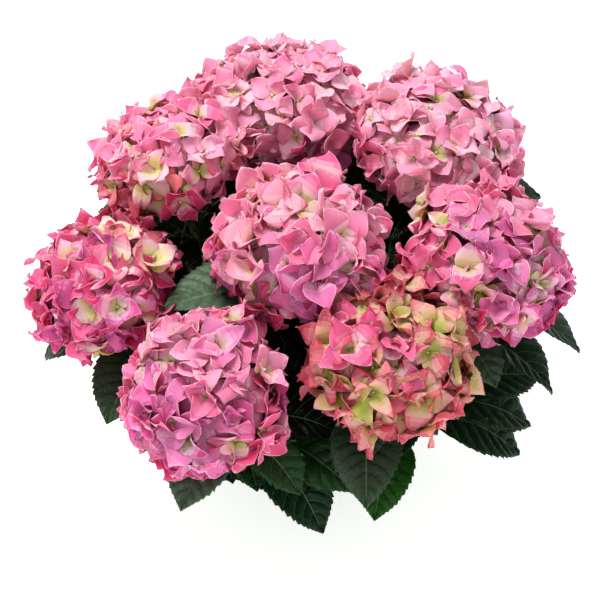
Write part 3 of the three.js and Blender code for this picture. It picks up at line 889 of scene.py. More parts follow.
# The mauve patches face low and forward, where the heads' lower sides are in shade: partly the sepals'
# own hue, partly painted shade.
HEAD_ROWS = (
    HeadRow("back", (-20, 185, 338), 93, 70, 118, 19.5, Hue.PINK, 6.0, 0.18, 0.22, 1.0, 0.4,
            (0, -2.8, -2.5, 1.06),
            (Blush(Hue.MAUVE_PAINTED_SHADE, 290, 5, 60, 0.5),)),
    HeadRow("back_left", (-126, 95, 362), 73, 150, 88, 19, Hue.PINK, 6.8, 0.55, 0.3, 0.94, 0.8,
            (4.7, -2.8, -2.5, 1),
            (Blush(Hue.CORAL, 225, 0, 50, 0.6, 0.8), Blush(Hue.CREAM, 290, 5, 60, 0.8, 1.6))),
    HeadRow("back_right", (142, 133, 350), 88, 20, 112, 19, Hue.PINK, 5.9, 0.2, 0.24, 0.96, 0.4,
            (-3.8, -7, -6.4, 1.05),
            (Blush(Hue.MAUVE_PAINTED_SHADE, 0, 15, 60, 0.35), Blush(Hue.CREAM, 240, 20, 45, 0.3))),
    HeadRow("left", (-178, -31, 318), 76, 190, 86, 20.5, Hue.PINK, 8.2, 0.5, 0.3, 0.96, 1.1,
            (-5.7, -4.2, -3.8, 1),
            (Blush(Hue.CREAM, 20, 60, 38, 0.7, 1.3), Blush(Hue.MAUVE_PAINTED_SHADE, 240, 5, 65, 0.7),
             Blush(Hue.CORAL, 30, 50, 60, 0.3, 0.6))),
    HeadRow("middle", (3, -29, 374), 84, 115, 88, 22.5, Hue.PINK, 6.9, 0.5, 0.3, 1.06, 0.75,
            (0.9, -3.5, -3, 0.97),
            (Blush(Hue.CREAM, 195, 35, 40, 0.8, 1.4), Blush(Hue.MAUVE_PAINTED_SHADE, 290, 0, 75, 0.85))),
    HeadRow("right", (174, -24, 345), 84, 340, 98, 20.5, Hue.PINK, 7.0, 0.4, 0.28, 0.98, 1.1,
            (3.8, -2.8, -2.5, 1),
            (Blush(Hue.CREAM, 170, 45, 35, 0.6, 1.5), Blush(Hue.MAUVE_PAINTED_SHADE, 310, 5, 85, 0.8))),
    HeadRow("front_left", (-82, -170, 322), 81, 255, 84, 22, Hue.PINK, 6.8, 0.45, 0.24, 1.0, 1.0,
            (-1.9, 0, 0, 0.95),
            (Blush(Hue.MAUVE_PAINTED_SHADE, 275, 15, 90, 0.9),)),
    HeadRow("front_right", (87, -142, 328), 81, 285, 80, 23, Hue.CORAL, 8.0, 0.95, 0.31, 0.78, 1.15,
            (0, 2.8, 2.5, 0.97),
            (Blush(Hue.PINK, 262, 62, 30, 0.85, 0.5), Blush(Hue.CORAL, 195, 20, 65, 0.95, 1.9),
             Blush(Hue.CORAL, 340, 35, 40, 0.8, 1.5))),
)


class Head:
    """A head's own axes: it leans out from the shrub's axis, more the further out it stands."""

    def __init__(self, row: HeadRow) -> None:
        """Works out the axes.

        Args:
            row: the head's place and sizes.
        """
        self.row = row
        self.centre = np.array(row.at, dtype=float)
        away = self.centre * np.array([1.0, 1.0, 0.0])
        reach = float(np.linalg.norm(away))
        lean = math.radians(reach / 1000 * GLOBE.lean_per_metre)
        self.axis = WORLD_UP * math.cos(lean) + away / reach * math.sin(lean)
        self.side = square_off(self.axis)
        self.across = cross(self.axis, self.side)
        self.half_height = row.half_width * GLOBE.height_share
        self.neck = self.centre - self.axis * (self.half_height + GLOBE.neck)
        self.eased = self.centre + np.array(row.ease[:3])
        self.eased_width = row.half_width * row.ease[3]

    def place(self, x: Array | float, y: Array | float, z: Array | float) -> Array:
        """Returns the vector with these amounts along the head's side, across and axis."""
        amounts = np.stack(np.broadcast_arrays(*(np.asarray(a, dtype=float) for a in (x, y, z))), -1)
        return amounts @ np.stack([self.side, self.across, self.axis])

    def depth(self, points: Array) -> Array:
        """Works out how far out points lie in the head's globe.

        Args:
            points: (..., 3) points.

        Returns:
            A value for each, under 1 where it lies inside.
        """
        away = points - self.centre
        high = dot(away, self.axis)
        wide = np.linalg.norm(away - high[..., None] * self.axis, axis=-1)
        return np.hypot(high / self.half_height, wide / self.row.half_width)


class Weave(NamedTuple):
    """Which of a sheet's corners make its triangles and its edges."""

    triangles: Whole
    edges: Whole


def weave(triangles: Sequence[Sequence[int]]) -> Weave:
    """Returns the triangles with the edges between them."""
    edges = {tuple(sorted((t[i], t[(i + 1) % 3]))) for t in triangles for i in range(3)}
    return Weave(np.array(triangles), np.array(sorted(edges)))


def blade_triangles() -> list[list[int]]:
    """Lists the triangles between the eleven corners of a blade.

    Returns:
        Their corners: the base is 0, three rows of left, middle and right follow, and the tip is 10.
    """
    inner = []
    for row in (1, 4):
        inner += [[row, row + 4, row + 1], [row, row + 3, row + 4]]
        inner += [[row + 1, row + 5, row + 2], [row + 1, row + 4, row + 5]]
    return [[0, 1, 2], [0, 2, 3], *inner, [7, 10, 8], [8, 10, 9]]


BLADE = weave(blade_triangles())
STAR_RIM = 8
STAR = weave([[0, 1 + k, 1 + (k + 1) % STAR_RIM] for k in range(STAR_RIM)])


def pierces(p: Array, q: Array, a: Array, b: Array, c: Array) -> NDArray[np.bool_]:
    """Whether segments go through triangles, for arrays that broadcast.

    Args:
        p: where each segment starts.
        q: where it ends.
        a: each triangle's first corner.
        b: its second corner.
        c: its third corner.

    Returns:
        True where the segment goes through.
    """
    ray, ab, ac = q - p, b - a, c - a
    h = cross(ray, ac)
    det = dot(ab, h)
    slanted = np.abs(det) >= TINY
    scale = np.where(slanted, det, 1.0)
    start = p - a
    u = dot(start, h) / scale
    g = cross(start, ab)
    v = dot(ray, g) / scale
    t = dot(ac, g) / scale
    return slanted & (u >= 0) & (u <= 1) & (v >= 0) & (u + v <= 1) & (t >= 0) & (t <= 1)


def pierced(lines: Array, sheets: Array, kind: Weave) -> bool:
    """Whether any of the lines goes through any of the sheets.

    Args:
        lines: (..., n, 2, 3) segments, one set for each sheet or one set for all.
        sheets: (m, corners, 3) sheets.
        kind: how the sheets are woven.

    Returns:
        True if one does.
    """
    faces = sheets[:, kind.triangles][:, None]
    ends = np.broadcast_to(lines, (len(sheets), *lines.shape[-3:]))[:, :, None]
    return bool(pierces(ends[..., 0, :], ends[..., 1, :],
                        faces[..., 0, :], faces[..., 1, :], faces[..., 2, :]).any())


def sheets_cross(first: Array, kind: Weave, others: Array, other_kind: Weave) -> bool:
    """Whether a sheet and any of the others cut through each other.

    Args:
        first: (corners, 3) the sheet.
        kind: how it is woven.
        others: (m, corners, 3) the others.
        other_kind: how they are woven.

    Returns:
        True if two of them do.
    """
    if pierced(first[kind.edges], others, other_kind):
        return True
    lines = others[:, other_kind.edges]
    return pierced(lines, np.broadcast_to(first, (len(others), *first.shape)), kind)


def segments_apart(p: Array, q: Array, r: Array, s: Array) -> Array:
    """Works out the least distance between segments, for arrays that broadcast.

    Args:
        p: where each first segment starts.
        q: where it ends.
        r: where each second segment starts.
        s: where it ends.

    Returns:
        The distances.
    """
    first, second, between = q - p, s - r, p - r
    a, b, c = dot(first, first), dot(first, second), dot(second, second)
    d, e = dot(first, between), dot(second, between)
    det = a * c - b * b
    slanted = det > TINY
    along = np.where(slanted, np.clip((b * e - c * d) / np.where(slanted, det, 1.0), 0, 1), 0.0)
    other = np.clip((b * along + e) / c, 0, 1)
    along = np.clip((b * other - d) / a, 0, 1)
    apart = between + first * along[..., None] - second * other[..., None]
    return np.linalg.norm(apart, axis=-1)


def outline(share: Array | float) -> Array:
    """Works out the blade's outline.

    Args:
        share: shares of its length.

    Returns:
        Half the width at each, over the widest half width.
    """
    u = np.clip(share, 0.0, 1.0)
    widest = LEAF.base_power / (LEAF.base_power + LEAF.tip_power)
    top = widest**LEAF.base_power * (1 - widest) ** LEAF.tip_power
    return u**LEAF.base_power * (1 - u) ** LEAF.tip_power / top


@dataclass
class Leaf:
    """One leaf: where its stalk leaves the stem, and the frame and sizes of its blade."""

    path: Cubic
    along: float
    toward: float
    pitch: float
    length: float
    droop: float = LEAF.droop
    roll: float = 0.0
    tone: LeafTone | None = None
    root: Array = field(init=False)
    forward: Array = field(init=False)
    base: Array = field(init=False)
    side: Array = field(init=False)
    normal: Array = field(init=False)
    bend: float = field(init=False)
    corners: Array = field(init=False)
    middle: Array = field(init=False)

    def __post_init__(self) -> None:
        """Works out the leaf's frame and the corners that the tests read."""
        out = compass(self.toward)
        steep, turn = math.radians(self.pitch), math.radians(self.roll)
        self.root = self.path.at(self.along)
        self.forward = out * math.cos(steep) + WORLD_UP * math.sin(steep)
        level = cross(WORLD_UP, out)
        above = cross(self.forward, level)
        self.base = self.root + self.forward * LEAF.stalk
        self.side = level * math.cos(turn) + above * math.sin(turn)
        self.normal = above * math.cos(turn) - level * math.sin(turn)
        self.bend = math.radians(self.droop)
        rows = [self.blade(np.full(3, share), np.array([-1.0, 0.0, 1.0])) for share in LEAF.rows]
        ends = self.blade(np.array([0.0, 1.0]), np.zeros(2))
        self.corners = np.concatenate([ends[:1], *rows, ends[1:]])
        self.middle = self.blade(np.array(0.5), np.array(0.0))

    def blade(self, share: Array, across: Array, lift: Array | float = 0.0) -> Array:
        """Returns points of the blade.

        Args:
            share: from base to tip, 0 to 1.
            across: from edge to edge, -1 to 1.
            lift: how far above the blade, in millimetres.

        Returns:
            (..., 3) points.
        """
        turn = (self.bend * share)[..., None]
        half = (0.5 * LEAF.width_share * self.length * outline(share) * across)[..., None]
        fold = math.radians(LEAF.fold)
        normal = self.normal * np.cos(turn) + self.forward * np.sin(turn)
        rise = np.abs(half) * math.sin(fold) + np.asarray(lift)[..., None]
        return (self.base + self.forward * (self.length * np.sin(turn) / self.bend)
                - self.normal * (self.length * (1 - np.cos(turn)) / self.bend)
                + self.side * (half * math.cos(fold)) + normal * rise)

    @property
    def stalk(self) -> Array:
        """The stalk's line, from the stem to the blade."""
        return np.stack([self.root, self.base])


@dataclass
class Shoot:
    """A stem that bears leaves: its path, thickness and the pairs along it."""

    name: str
    path: Cubic
    thick: float
    thin: float
    bough_end: float
    pairs: tuple[Pair, ...]
    finer: tuple[Pair, ...]
    turn: float
    leaves: list[Leaf] = field(default_factory=list)
    line: Array = field(init=False)

    def __post_init__(self) -> None:
        """Lays the line that leaves are tested against."""
        self.line = self.path.at(np.arange(LINE_STEPS + 1) / LINE_STEPS)

    def radius(self, along: Array | float) -> Array | float:
        """Returns the radius at a share of the path."""
        return self.thick + (self.thin - self.thick) * along


class Growth:
    """Grows the shrub's lines: heads, shoots and leaves, by the frame's own seeded rule."""

    def __init__(self) -> None:
        """Grows everything in order."""
        self.heads = [Head(row) for row in HEAD_ROWS]
        self.shoots = [*self.main_shoots(), *self.side_shoots()]
        self.grown: list[Leaf] = []
        self.open_leaves(OPEN_ROWS, LEAF.clear)
        self.paired_leaves()
        self.own_count = len(self.grown)

    def cane_starts(self) -> dict[str, Array]:
        """Works out where each head's cane leaves the stem.

        Returns:
            The places by the head's name: the nearest head's in the middle, the others' round it.
        """
        reach = {h.row.name: math.hypot(h.centre[0], h.centre[1]) for h in self.heads}
        nearest = min(self.heads, key=lambda h: reach[h.row.name])
        ring = sorted((h for h in self.heads if h is not nearest),
                      key=lambda h: math.atan2(h.centre[1], h.centre[0]))
        first = math.atan2(ring[0].centre[1], ring[0].centre[0])
        foot = WORLD_UP * CANE.base_height
        starts = {nearest.row.name: foot}
        for i, head in enumerate(ring):
            out = compass(math.degrees(first + 2 * math.pi * i / len(ring)))
            starts[head.row.name] = foot + out * CANE.base_ring
        return starts

    def main_shoots(self) -> list[Shoot]:
        """Lays the flowering canes.

        Returns:
            One shoot for each head.
        """
        starts = self.cane_starts()
        shoots = []
        for head in self.heads:
            start = starts[head.row.name]
            out = start * np.array([1.0, 1.0, 0.0])
            out = out / max(float(np.linalg.norm(out)), TINY)
            path = Cubic(start, start + WORLD_UP * CANE.rise + out * CANE.spread,
                         head.neck - head.axis * CANE.neck_pull, head.neck)
            shoots.append(Shoot(head.row.name, path, CANE.base_radius, CANE.tip_radius,
                                CANE.bough_end, CANE_PAIRS, FINER_CANE, head.row.turn))
        return shoots

    def side_shoots(self) -> list[Shoot]:
        """Lays the low side shoots.

        Returns:
            The shoots.
        """
        shoots = []
        for i, row in enumerate(SIDE_ROWS):
            out = compass(row.toward)
            start = WORLD_UP * SIDE.ring_height + out * SIDE.ring_radius
            tip = WORLD_UP * row.high + out * row.out
            path = Cubic(start,
                         start + out * row.out * SIDE.leave_out + WORLD_UP * row.high * SIDE.leave_up,
                         tip - out * row.out * SIDE.arrive_out - WORLD_UP * row.high * SIDE.arrive_up,
                         tip)
            shoots.append(Shoot(f"side_{i + 1}", path, SIDE.base_radius, SIDE.tip_radius,
                                SIDE.bough_end, SIDE_PAIRS, FINER_SIDE, row.turn))
        return shoots

    def has_room(self, leaf: Leaf, shoot: Shoot, clear: float) -> bool:
        """Whether a leaf is clear of the other shoots' limbs and of every leaf grown before it.

        Args:
            leaf: the new leaf.
            shoot: the shoot that bears it.
            clear: the clearance between blades, and from blade to limb.

        Returns:
            True if it is clear.
        """
        lines = np.stack([s.line for s in self.shoots if s is not shoot])
        p = lines[:, :-1].reshape(-1, 3)
        q = lines[:, 1:].reshape(-1, 3)
        thick = CANE.base_radius
        if self.blade_meets(leaf, p, q, thick + clear):
            return False
        near = thick + LEAF.stalk_radius + LEAF.stalk_clear
        if segments_apart(p, q, *leaf.stalk).min() < near:
            return False
        close = [other for other in self.grown
                 if np.linalg.norm(leaf.middle - other.middle)
                 <= (leaf.length + other.length) * LEAF.reach_share]
        if close and meets_blades(leaf.corners, BLADE, close, clear):
            return False
        if not self.grown:
            return True
        stalks = np.stack([other.stalk for other in self.grown])
        if self.blade_meets(leaf, stalks[:, 0], stalks[:, 1], LEAF.stalk_radius + clear):
            return False
        start, end = leaf.stalk
        return not any(
            self.blade_meets(other, start[None], end[None], LEAF.stalk_radius + clear)
            for other in self.grown
            if np.linalg.norm(other.middle - leaf.base) < other.length + LEAF.stalk
        )

    @staticmethod
    def blade_meets(leaf: Leaf, p: Array, q: Array, near: float) -> bool:
        """Whether a blade comes near any of some segments.

        Args:
            leaf: the leaf with the blade.
            p: where each segment starts.
            q: where it ends.
            near: the least distance that is allowed.

        Returns:
            True if it does.
        """
        edges = leaf.corners[BLADE.edges]
        apart = segments_apart(p[:, None], q[:, None], edges[None, :, 0], edges[None, :, 1])
        return bool(apart.min() < near) or pierced(np.stack([p, q], 1), leaf.corners[None], BLADE)

    def keep(self, leaf: Leaf, shoot: Shoot) -> None:
        """Adds a leaf to its shoot."""
        self.grown.append(leaf)
        shoot.leaves.append(leaf)

    def open_leaves(self, rows: Iterable[OpenRow], clear: float) -> None:
        """Grows leaves that stand open, where they have room.

        Args:
            rows: the leaves.
            clear: their clearance.
        """
        by_name = {shoot.name: shoot for shoot in self.shoots}
        for row in rows:
            shoot = by_name[row.shoot]
            leaf = Leaf(shoot.path, row.along, row.toward, row.pitch, row.length, row.droop,
                        row.roll, row.tone)
            if self.has_room(leaf, shoot, clear):
                self.keep(leaf, shoot)

    def paired_leaves(self) -> None:
        """Grows the pairs of every shoot in turn, from the top down."""
        for level in range(max(len(shoot.pairs) for shoot in self.shoots)):
            for number, shoot in enumerate(self.shoots):
                index = len(shoot.pairs) - 1 - level
                if index >= 0:
                    seed = LEAF.seed + LEAF.seeds_per_shoot * number + LEAF.seeds_per_pair * index
                    turn = shoot.turn + LEAF.pair_turn * index
                    self.pair(shoot, shoot.pairs[index], turn, seed, LEAF.clear)

    def finer_leaves(self, clear: float, seed: int) -> None:
        """Carries the rule on with the smaller leaves between the pairs.

        Args:
            clear: their clearance.
            seed: the first seed.
        """
        for level in range(max(len(shoot.finer) for shoot in self.shoots)):
            for number, shoot in enumerate(self.shoots):
                turn = shoot.turn + FINER_TURN + LEAF.pair_turn * level
                own_seed = seed + LEAF.seeds_per_shoot * number + LEAF.seeds_per_pair * level
                self.pair(shoot, shoot.finer[level], turn, own_seed, clear)

    def pair(self, shoot: Shoot, pair: Pair, turn: float, seed: int, clear: float) -> None:
        """Grows the two leaves of a pair where they have room, after a few tries each.

        Args:
            shoot: the shoot that bears them.
            pair: their place and sizes.
            turn: the compass turn of the first.
            seed: the first one's seed.
            clear: their clearance.
        """
        for half in (0, 1):
            dice = Dice(seed + half)
            for again in range(LEAF.tries):
                toward = turn + 180 * half + dice.spread(1) * (1 + again) * LEAF.turn
                pitch = pair.pitch + dice.spread(1) * (1 + again) * LEAF.lift
                roll = dice.spread(LEAF.roll)
                length = pair.length * (1 + dice.spread(LEAF.size_sway)) * LEAF.shorten**again
                leaf = Leaf(shoot.path, pair.along, toward, pitch, length, roll=roll)
                if self.leaves_skirt(leaf) or self.in_a_head(leaf):
                    continue
                if self.has_room(leaf, shoot, clear):
                    self.keep(leaf, shoot)
                    break

    @staticmethod
    def leaves_skirt(leaf: Leaf) -> bool:
        """Whether a leaf leaves the bowl that the leaves keep to.

        Args:
            leaf: the leaf.

        Returns:
            True if any corner of its blade lies outside.
        """
        x, y, z = leaf.corners.T
        reach = np.hypot(x, y - SKIRT.back)
        allowed = np.minimum(SKIRT.widest, SKIRT.foot_reach + SKIRT.slope * z)
        return bool(((z < SKIRT.lowest) | (reach > allowed)).any())

    def in_a_head(self, leaf: Leaf) -> bool:
        """Whether any corner lies in a head's globe."""
        return any(bool((head.depth(leaf.corners) < GLOBE.leaf_free).any()) for head in self.heads)


def meets_blades(sheet: Array, kind: Weave, leaves: Sequence[Leaf], clear: float) -> bool:
    """Whether a sheet comes nearer to the leaves' blades than the clearance, on either side.

    Args:
        sheet: the sheet's corners.
        kind: how it is woven.
        leaves: the leaves.
        clear: the clearance.

    Returns:
        True if it does.
    """
    others = np.stack([leaf.corners + leaf.normal * shift
                       for leaf in leaves for shift in (-clear, 0.0, clear)])
    return sheets_cross(sheet, kind, others, BLADE)


# -------------------------------------------------------- blossom


@dataclass(frozen=True)
class SepalRule:
    """A sepal's outline and bearing, and how much sepals differ. Pairs are ranges, in degrees."""

    rows: tuple[float, ...] = (0.0, 0.1, 0.22, 0.35, 0.5, 0.65, 0.79, 0.91, 1.0)
    columns: tuple[float, ...] = (-1.0, -0.91, -0.52, 0.0, 0.52, 0.91, 1.0)
    base_power: float = 0.68
    tip_power: float = 1.08
    least: float = 0.05
    length: float = 1.37
    width: tuple[float, float] = (0.86, 1.1)
    thickness: float = 0.35
    open_lift: tuple[float, float] = (0.0, 46.0)
    lift_sway: float = 16.0
    upper_lift: float = 9.0
    curve: tuple[float, float] = (-88.0, 24.0)
    curve_sway: float = 30.0
    fold: tuple[float, float] = (-14.0, 46.0)
    roll_back: float = 0.16
    wave: float = 0.1
    waves: tuple[float, float] = (6.0, 10.0)
    twist: float = 38.0
    sickle: float = 0.2
    wave_shift: float = 1.7  # how far the waves of a sepal's two edges are out of step
    size_sway: float = 0.12
    length_sway: float = 0.06
    turn_sway: float = 9.0
    least_bend: float = 0.01
    step: float = 0.5


@dataclass(frozen=True)
class MopRule:
    """How a head's many florets are set, beyond the frame's own few."""

    outermost: float = 0.885
    lowest: float = -0.62
    layer_depth: float = 0.055
    tilt: float = 0.34
    calm: float = 0.4  # the share of the tilt that a head without relief has too
    lump: float = 0.02
    lump_waves: tuple[float, float, float] = (3.1, 2.7, 2.2)
    cluster_reach: float = 0.5  # how wide a branch's cluster of florets is, in radians
    cluster_edge: float = 1.2
    cluster_depth: float = 0.1
    cluster_dome: float = 0.5
    reach: float = 0.95
    cup: float = 0.3
    notch: float = 0.6
    press: float = 3.0
    leaf_clear: float = 1.0
    leaf_reach: float = 1.4  # leaves further off than this many half widths are not near


@dataclass(frozen=True)
class TintRule:
    """How florets and the small faces of their sepals are shaded, counted in shades.

    Places on a sepal are shares of its length, and a shade counts as deeper when its number is higher.
    """

    floret_sway: float = 0.5
    painted_shade_below: float = 0.55  # florets that face lower than this upward share are painted deeper, as shade on the head's lower side
    painted_shade_depth: float = 2.4
    sepal_sway: float = 0.25
    row_sway: float = 0.12
    # How many shades a sepal's rim differs; on cool sepals the paler rim is a painted highlight.
    side_rim: float = 2.0
    tip_rim: float = 1.4
    cool_rim_highlight: float = 1.0  # pink and mauve sepals are paler at the rim, a painted highlight where light catches the edge; the warm hues' rims are deeper, their own tint
    warm_rim: float = -0.7
    cool_slope: float = 1.1  # how much deeper a sepal grows from its base to its tip
    warm_slope: float = 2.6
    level_at: float = 0.6
    edge_lead: float = 0.28  # how far the edges run ahead of the middle
    heart_spread: tuple[float, float] = (0.5, 1.4)
    heart_sway: float = 0.3
    least_heart: float = 0.08
    heart_middle: float = 1.14
    heart_edge: float = 0.5  # how much shorter the heart is at the edges
    heart_end: float = 1.4
    heart_blend: float = 0.3


@dataclass(frozen=True)
class RayRule:
    """The stalk, the branches and the thin stalks that carry a head's florets."""

    stalk_top: float = 0.15
    stalk_radii: tuple[float, float] = (3.4, 2.2)
    stalk_rings: int = 6
    stalk_sides: int = 10
    branches: int = 13
    branch_span: float = 1.5  # how far down from the pole the branches end, in half heights
    branch_turn: float = 1.0
    branch_out: float = 0.52
    branch_feet: tuple[float, float] = (0.45, 0.5)  # the lowest one's, and how far up from it others go
    branch_radius: float = 1.1
    branch_sides: int = 6
    branch_rings: int = 5
    pedicel_radius: float = 0.55
    pedicel_sides: int = 5
    pedicel_rings: int = 4
    sunk: float = 0.3
    bow: float = 0.35
    core_heights: tuple[float, ...] = (-0.6, -0.5, -0.25, 0.05, 0.3, 0.5, 0.6)  # the knot of stalks
    core_radii: tuple[float, ...] = (0.12, 0.36, 0.54, 0.58, 0.5, 0.3, 0.08)
    core_sides: int = 18


@dataclass(frozen=True)
class EyeRule:
    """The round bud in a floret's middle: its radius at a few heights, in millimetres."""

    heights: tuple[float, ...] = (-0.4, 0.5, 1.6, 2.2)
    radii: tuple[float, ...] = (0.8, 1.5, 1.35, 0.55)
    sway: float = 0.25
    sides: int = 6


SEPAL = SepalRule()
SEPALS = 4
MOP = MopRule()
TINT = TintRule()
RAYS = RayRule()
EYE_BUD = EyeRule()


def sepal_outline(share: Array) -> Array:
    """Works out a sepal's outline.

    Args:
        share: shares of its length.

    Returns:
        Half the width at each, over the widest half width.
    """
    peak = SEPAL.base_power / (SEPAL.base_power + SEPAL.tip_power)
    top = peak**SEPAL.base_power * (1 - peak) ** SEPAL.tip_power
    return np.maximum(share**SEPAL.base_power * (1 - share) ** SEPAL.tip_power / top, SEPAL.least)


def each_sepal(values: Array | Whole) -> Array | Whole:
    """Returns the florets' values once for each of their sepals, shaped for the sepals' grids."""
    return np.repeat(values, SEPALS)[:, None, None]


@dataclass
class Florets:
    """The florets of one head: where they stand, which way they face and their hues."""

    places: Array
    normals: Array
    spins: Array
    hues: Whole
    levels: Array
    hearts: Array


class Bloom:
    """One flower head: its florets, their eyes and the rays that carry them."""

    def __init__(self, growth: Growth, number: int) -> None:
        """Sets the florets.

        Args:
            growth: the grown shrub, whose leaves and other heads the florets keep clear of.
            number: the head's number.
        """
        self.growth = growth
        self.head = growth.heads[number]
        self.row = self.head.row
        self.dice = Dice(GLOBE.seed + GLOBE.seeds_per_head * number)
        self.rng = np.random.default_rng(GLOBE.seed + number)
        self.near = [leaf for leaf in growth.grown
                     if np.linalg.norm(leaf.middle - self.head.centre)
                     < leaf.length * LEAF.reach_share + self.row.half_width * MOP.leaf_reach]
        self.florets = self.set_florets()

    def set_florets(self) -> Florets:
        """Sets the florets on their spiral, pushed in or left out where they have no room.

        Returns:
            The florets.
        """
        row, head = self.row, self.head
        places, normals, spins = [], [], []
        lumps = [self.dice() * math.tau for _ in range(2)]
        wave_side, wave_across, wave_high = MOP.lump_waves
        knots = self.knots()
        for i in range(row.florets):
            share = ((i + 0.5) / row.florets) ** GLOBE.crowding
            high = 1 - share * (1 - MOP.lowest)
            wide = math.sqrt(1 - high * high)
            turn = i * GOLDEN_ANGLE + math.radians(row.turn)
            x, y = wide * math.cos(turn), wide * math.sin(turn)
            facing = unit(head.place(x / row.half_width, y / row.half_width, high / head.half_height))
            right = unit(cross(facing, head.axis + head.side * GLOBE.pole_shift))
            up = cross(right, facing)
            sway = MOP.tilt * (MOP.calm + (1 - MOP.calm) * row.relief)
            tilt = [self.dice.spread(sway) for _ in range(2)]
            spot = np.array([x, y, high])
            nearest = knots[np.argmax(knots @ spot)]
            apart = math.acos(float(np.clip(nearest @ spot, -1, 1))) / MOP.cluster_reach
            dome = head.place(*(spot - nearest)) * MOP.cluster_dome * row.relief
            normal = unit(facing + right * tilt[0] + up * tilt[1] + dome)
            spin = self.dice() * math.pi
            lump = MOP.lump * (math.sin(wave_side * x + lumps[0])
                               + math.sin(wave_across * y + wave_high * high + lumps[1]))
            for pushed in range(GLOBE.pushes + 1):
                out = (MOP.outermost + lump - (i % GLOBE.layers) * MOP.layer_depth
                       - MOP.cluster_depth * row.relief * min(apart, MOP.cluster_edge) ** 2
                       - pushed * GLOBE.push_depth)
                place = head.eased + out * row.ease[3] * head.place(
                    x * row.half_width, y * row.half_width, high * head.half_height)
                if self.has_room(place, normal, spin):
                    places.append(place)
                    normals.append(normal)
                    spins.append(spin)
                    break
        facings = np.stack(normals)
        blushes = [self.blush(facing) for facing in facings]
        hues = np.array([b.hue.value if b else row.hue.value for b in blushes])
        levels = row.depth + self.rng.normal(0, TINT.floret_sway, len(places))
        # Painted shade: florets that face downwards are dealt deeper shades.
        levels += TINT.painted_shade_depth * np.maximum(TINT.painted_shade_below - facings[:, 2], 0)
        has_heart = self.rng.random(len(places)) < row.heart
        spread = self.rng.uniform(*TINT.heart_spread, len(places))
        spread *= np.array([b.heart if b else 1.0 for b in blushes])
        hearts = np.where(has_heart, row.heart_reach * spread, TINT.least_heart)
        return Florets(np.stack(places), facings, np.array(spins), hues, levels, hearts)

    def knots(self) -> Array:
        """Works out where the head's branches end, whose florets stand in domed clusters.

        Returns:
            (branches, 3) unit vectors in the axes of the head.
        """
        order = np.arange(RAYS.branches)
        high = 1 - (order + 0.5) / RAYS.branches * RAYS.branch_span
        turn = order * GOLDEN_ANGLE + math.radians(self.row.turn) + RAYS.branch_turn
        wide = np.sqrt(1 - high**2)
        return np.stack([wide * np.cos(turn), wide * np.sin(turn), high], axis=1)

    def blush(self, facing: Array) -> Blush | None:
        """Finds the patch that a floret belongs to.

        Args:
            facing: the direction that it faces.

        Returns:
            The patch, or None.
        """
        for blush in self.row.blushes:
            if self.dice() < blush.odds(facing):
                return blush
        return None

    def has_room(self, place: Array, normal: Array, spin: float) -> bool:
        """Whether a floret is clear of the planes between heads and of the leaves.

        Args:
            place: the floret's middle.
            normal: where it faces.
            spin: its turn about that.

        Returns:
            True if it is clear.
        """
        reach = self.row.sepal * MOP.reach
        side = square_off(normal)
        across = cross(normal, side)
        order = np.arange(STAR_RIM)
        angle = spin + order * math.tau / STAR_RIM
        outer = order % 2 == 0
        wide = np.where(outer, reach, reach * MOP.notch)[:, None]
        rise = np.where(outer, reach * MOP.cup, 0.0)[:, None]
        rim = (place + side * wide * np.cos(angle)[:, None] + across * wide * np.sin(angle)[:, None]
               + normal * rise)
        star = np.concatenate([place[None], rim])
        for other in self.growth.heads:
            if other is self.head:
                continue
            between = other.eased - self.head.eased
            apart = float(np.linalg.norm(between))
            plane = apart * self.head.eased_width / (self.head.eased_width + other.eased_width)
            if (dot(star - self.head.eased, between / apart) > plane + MOP.press).any():
                return False
        close = [leaf for leaf in self.near if np.linalg.norm(leaf.middle - place)
                 <= leaf.length * LEAF.reach_share + reach + MOP.leaf_clear]
        return not (close and meets_blades(star, STAR, close, MOP.leaf_clear))

    def sway(self, amount: float, many: int) -> Array:
        """Returns numbers between minus and plus an amount, shaped for the sepals' grids."""
        return self.rng.uniform(-amount, amount, many)[:, None, None]

    def pick(self, limits: tuple[float, float], many: int) -> Array:
        """Returns numbers between two limits, shaped for the sepals' grids."""
        return self.rng.uniform(*limits, many)[:, None, None]

    def sepal_grids(self) -> Array:
        """Works out the points of every sepal's upper side.

        Returns:
            (4 * florets, rows, columns, 3) points.
        """
        f = self.florets
        florets = len(f.places)
        many = florets * SEPALS
        u = np.array(SEPAL.rows)[None, :, None]
        v = np.array(SEPAL.columns)[None, None, :]
        upper = (np.arange(many) % 2).astype(float)[:, None, None]
        size = np.repeat(1 + self.sway(SEPAL.size_sway, florets), SEPALS, axis=0)
        length = self.row.sepal * SEPAL.length * size * (1 + self.sway(SEPAL.length_sway, many))
        steep = np.radians(np.repeat(self.pick(SEPAL.open_lift, florets), SEPALS, axis=0)
                           + self.sway(SEPAL.lift_sway, many) + upper * SEPAL.upper_lift)
        bend = np.radians(np.repeat(self.pick(SEPAL.curve, florets), SEPALS, axis=0)
                          + self.sway(SEPAL.curve_sway, many))
        bend = np.where(np.abs(bend) < SEPAL.least_bend, SEPAL.least_bend, bend)
        along = length * (np.sin(steep + bend * u) - np.sin(steep)) / bend
        rise = length * (np.cos(steep) - np.cos(steep + bend * u)) / bend
        breadth = self.row.breadth * self.pick(SEPAL.width, many)
        half = 0.5 * length * breadth * sepal_outline(u) * v
        wave = (SEPAL.wave * length * v**2
                * np.sin(self.pick(SEPAL.waves, many) * u + self.sway(math.pi, many)
                         + SEPAL.wave_shift * np.sign(v)))
        fold = np.radians(self.pick(SEPAL.fold, many))
        twist = np.radians(self.sway(SEPAL.twist, many)) * u
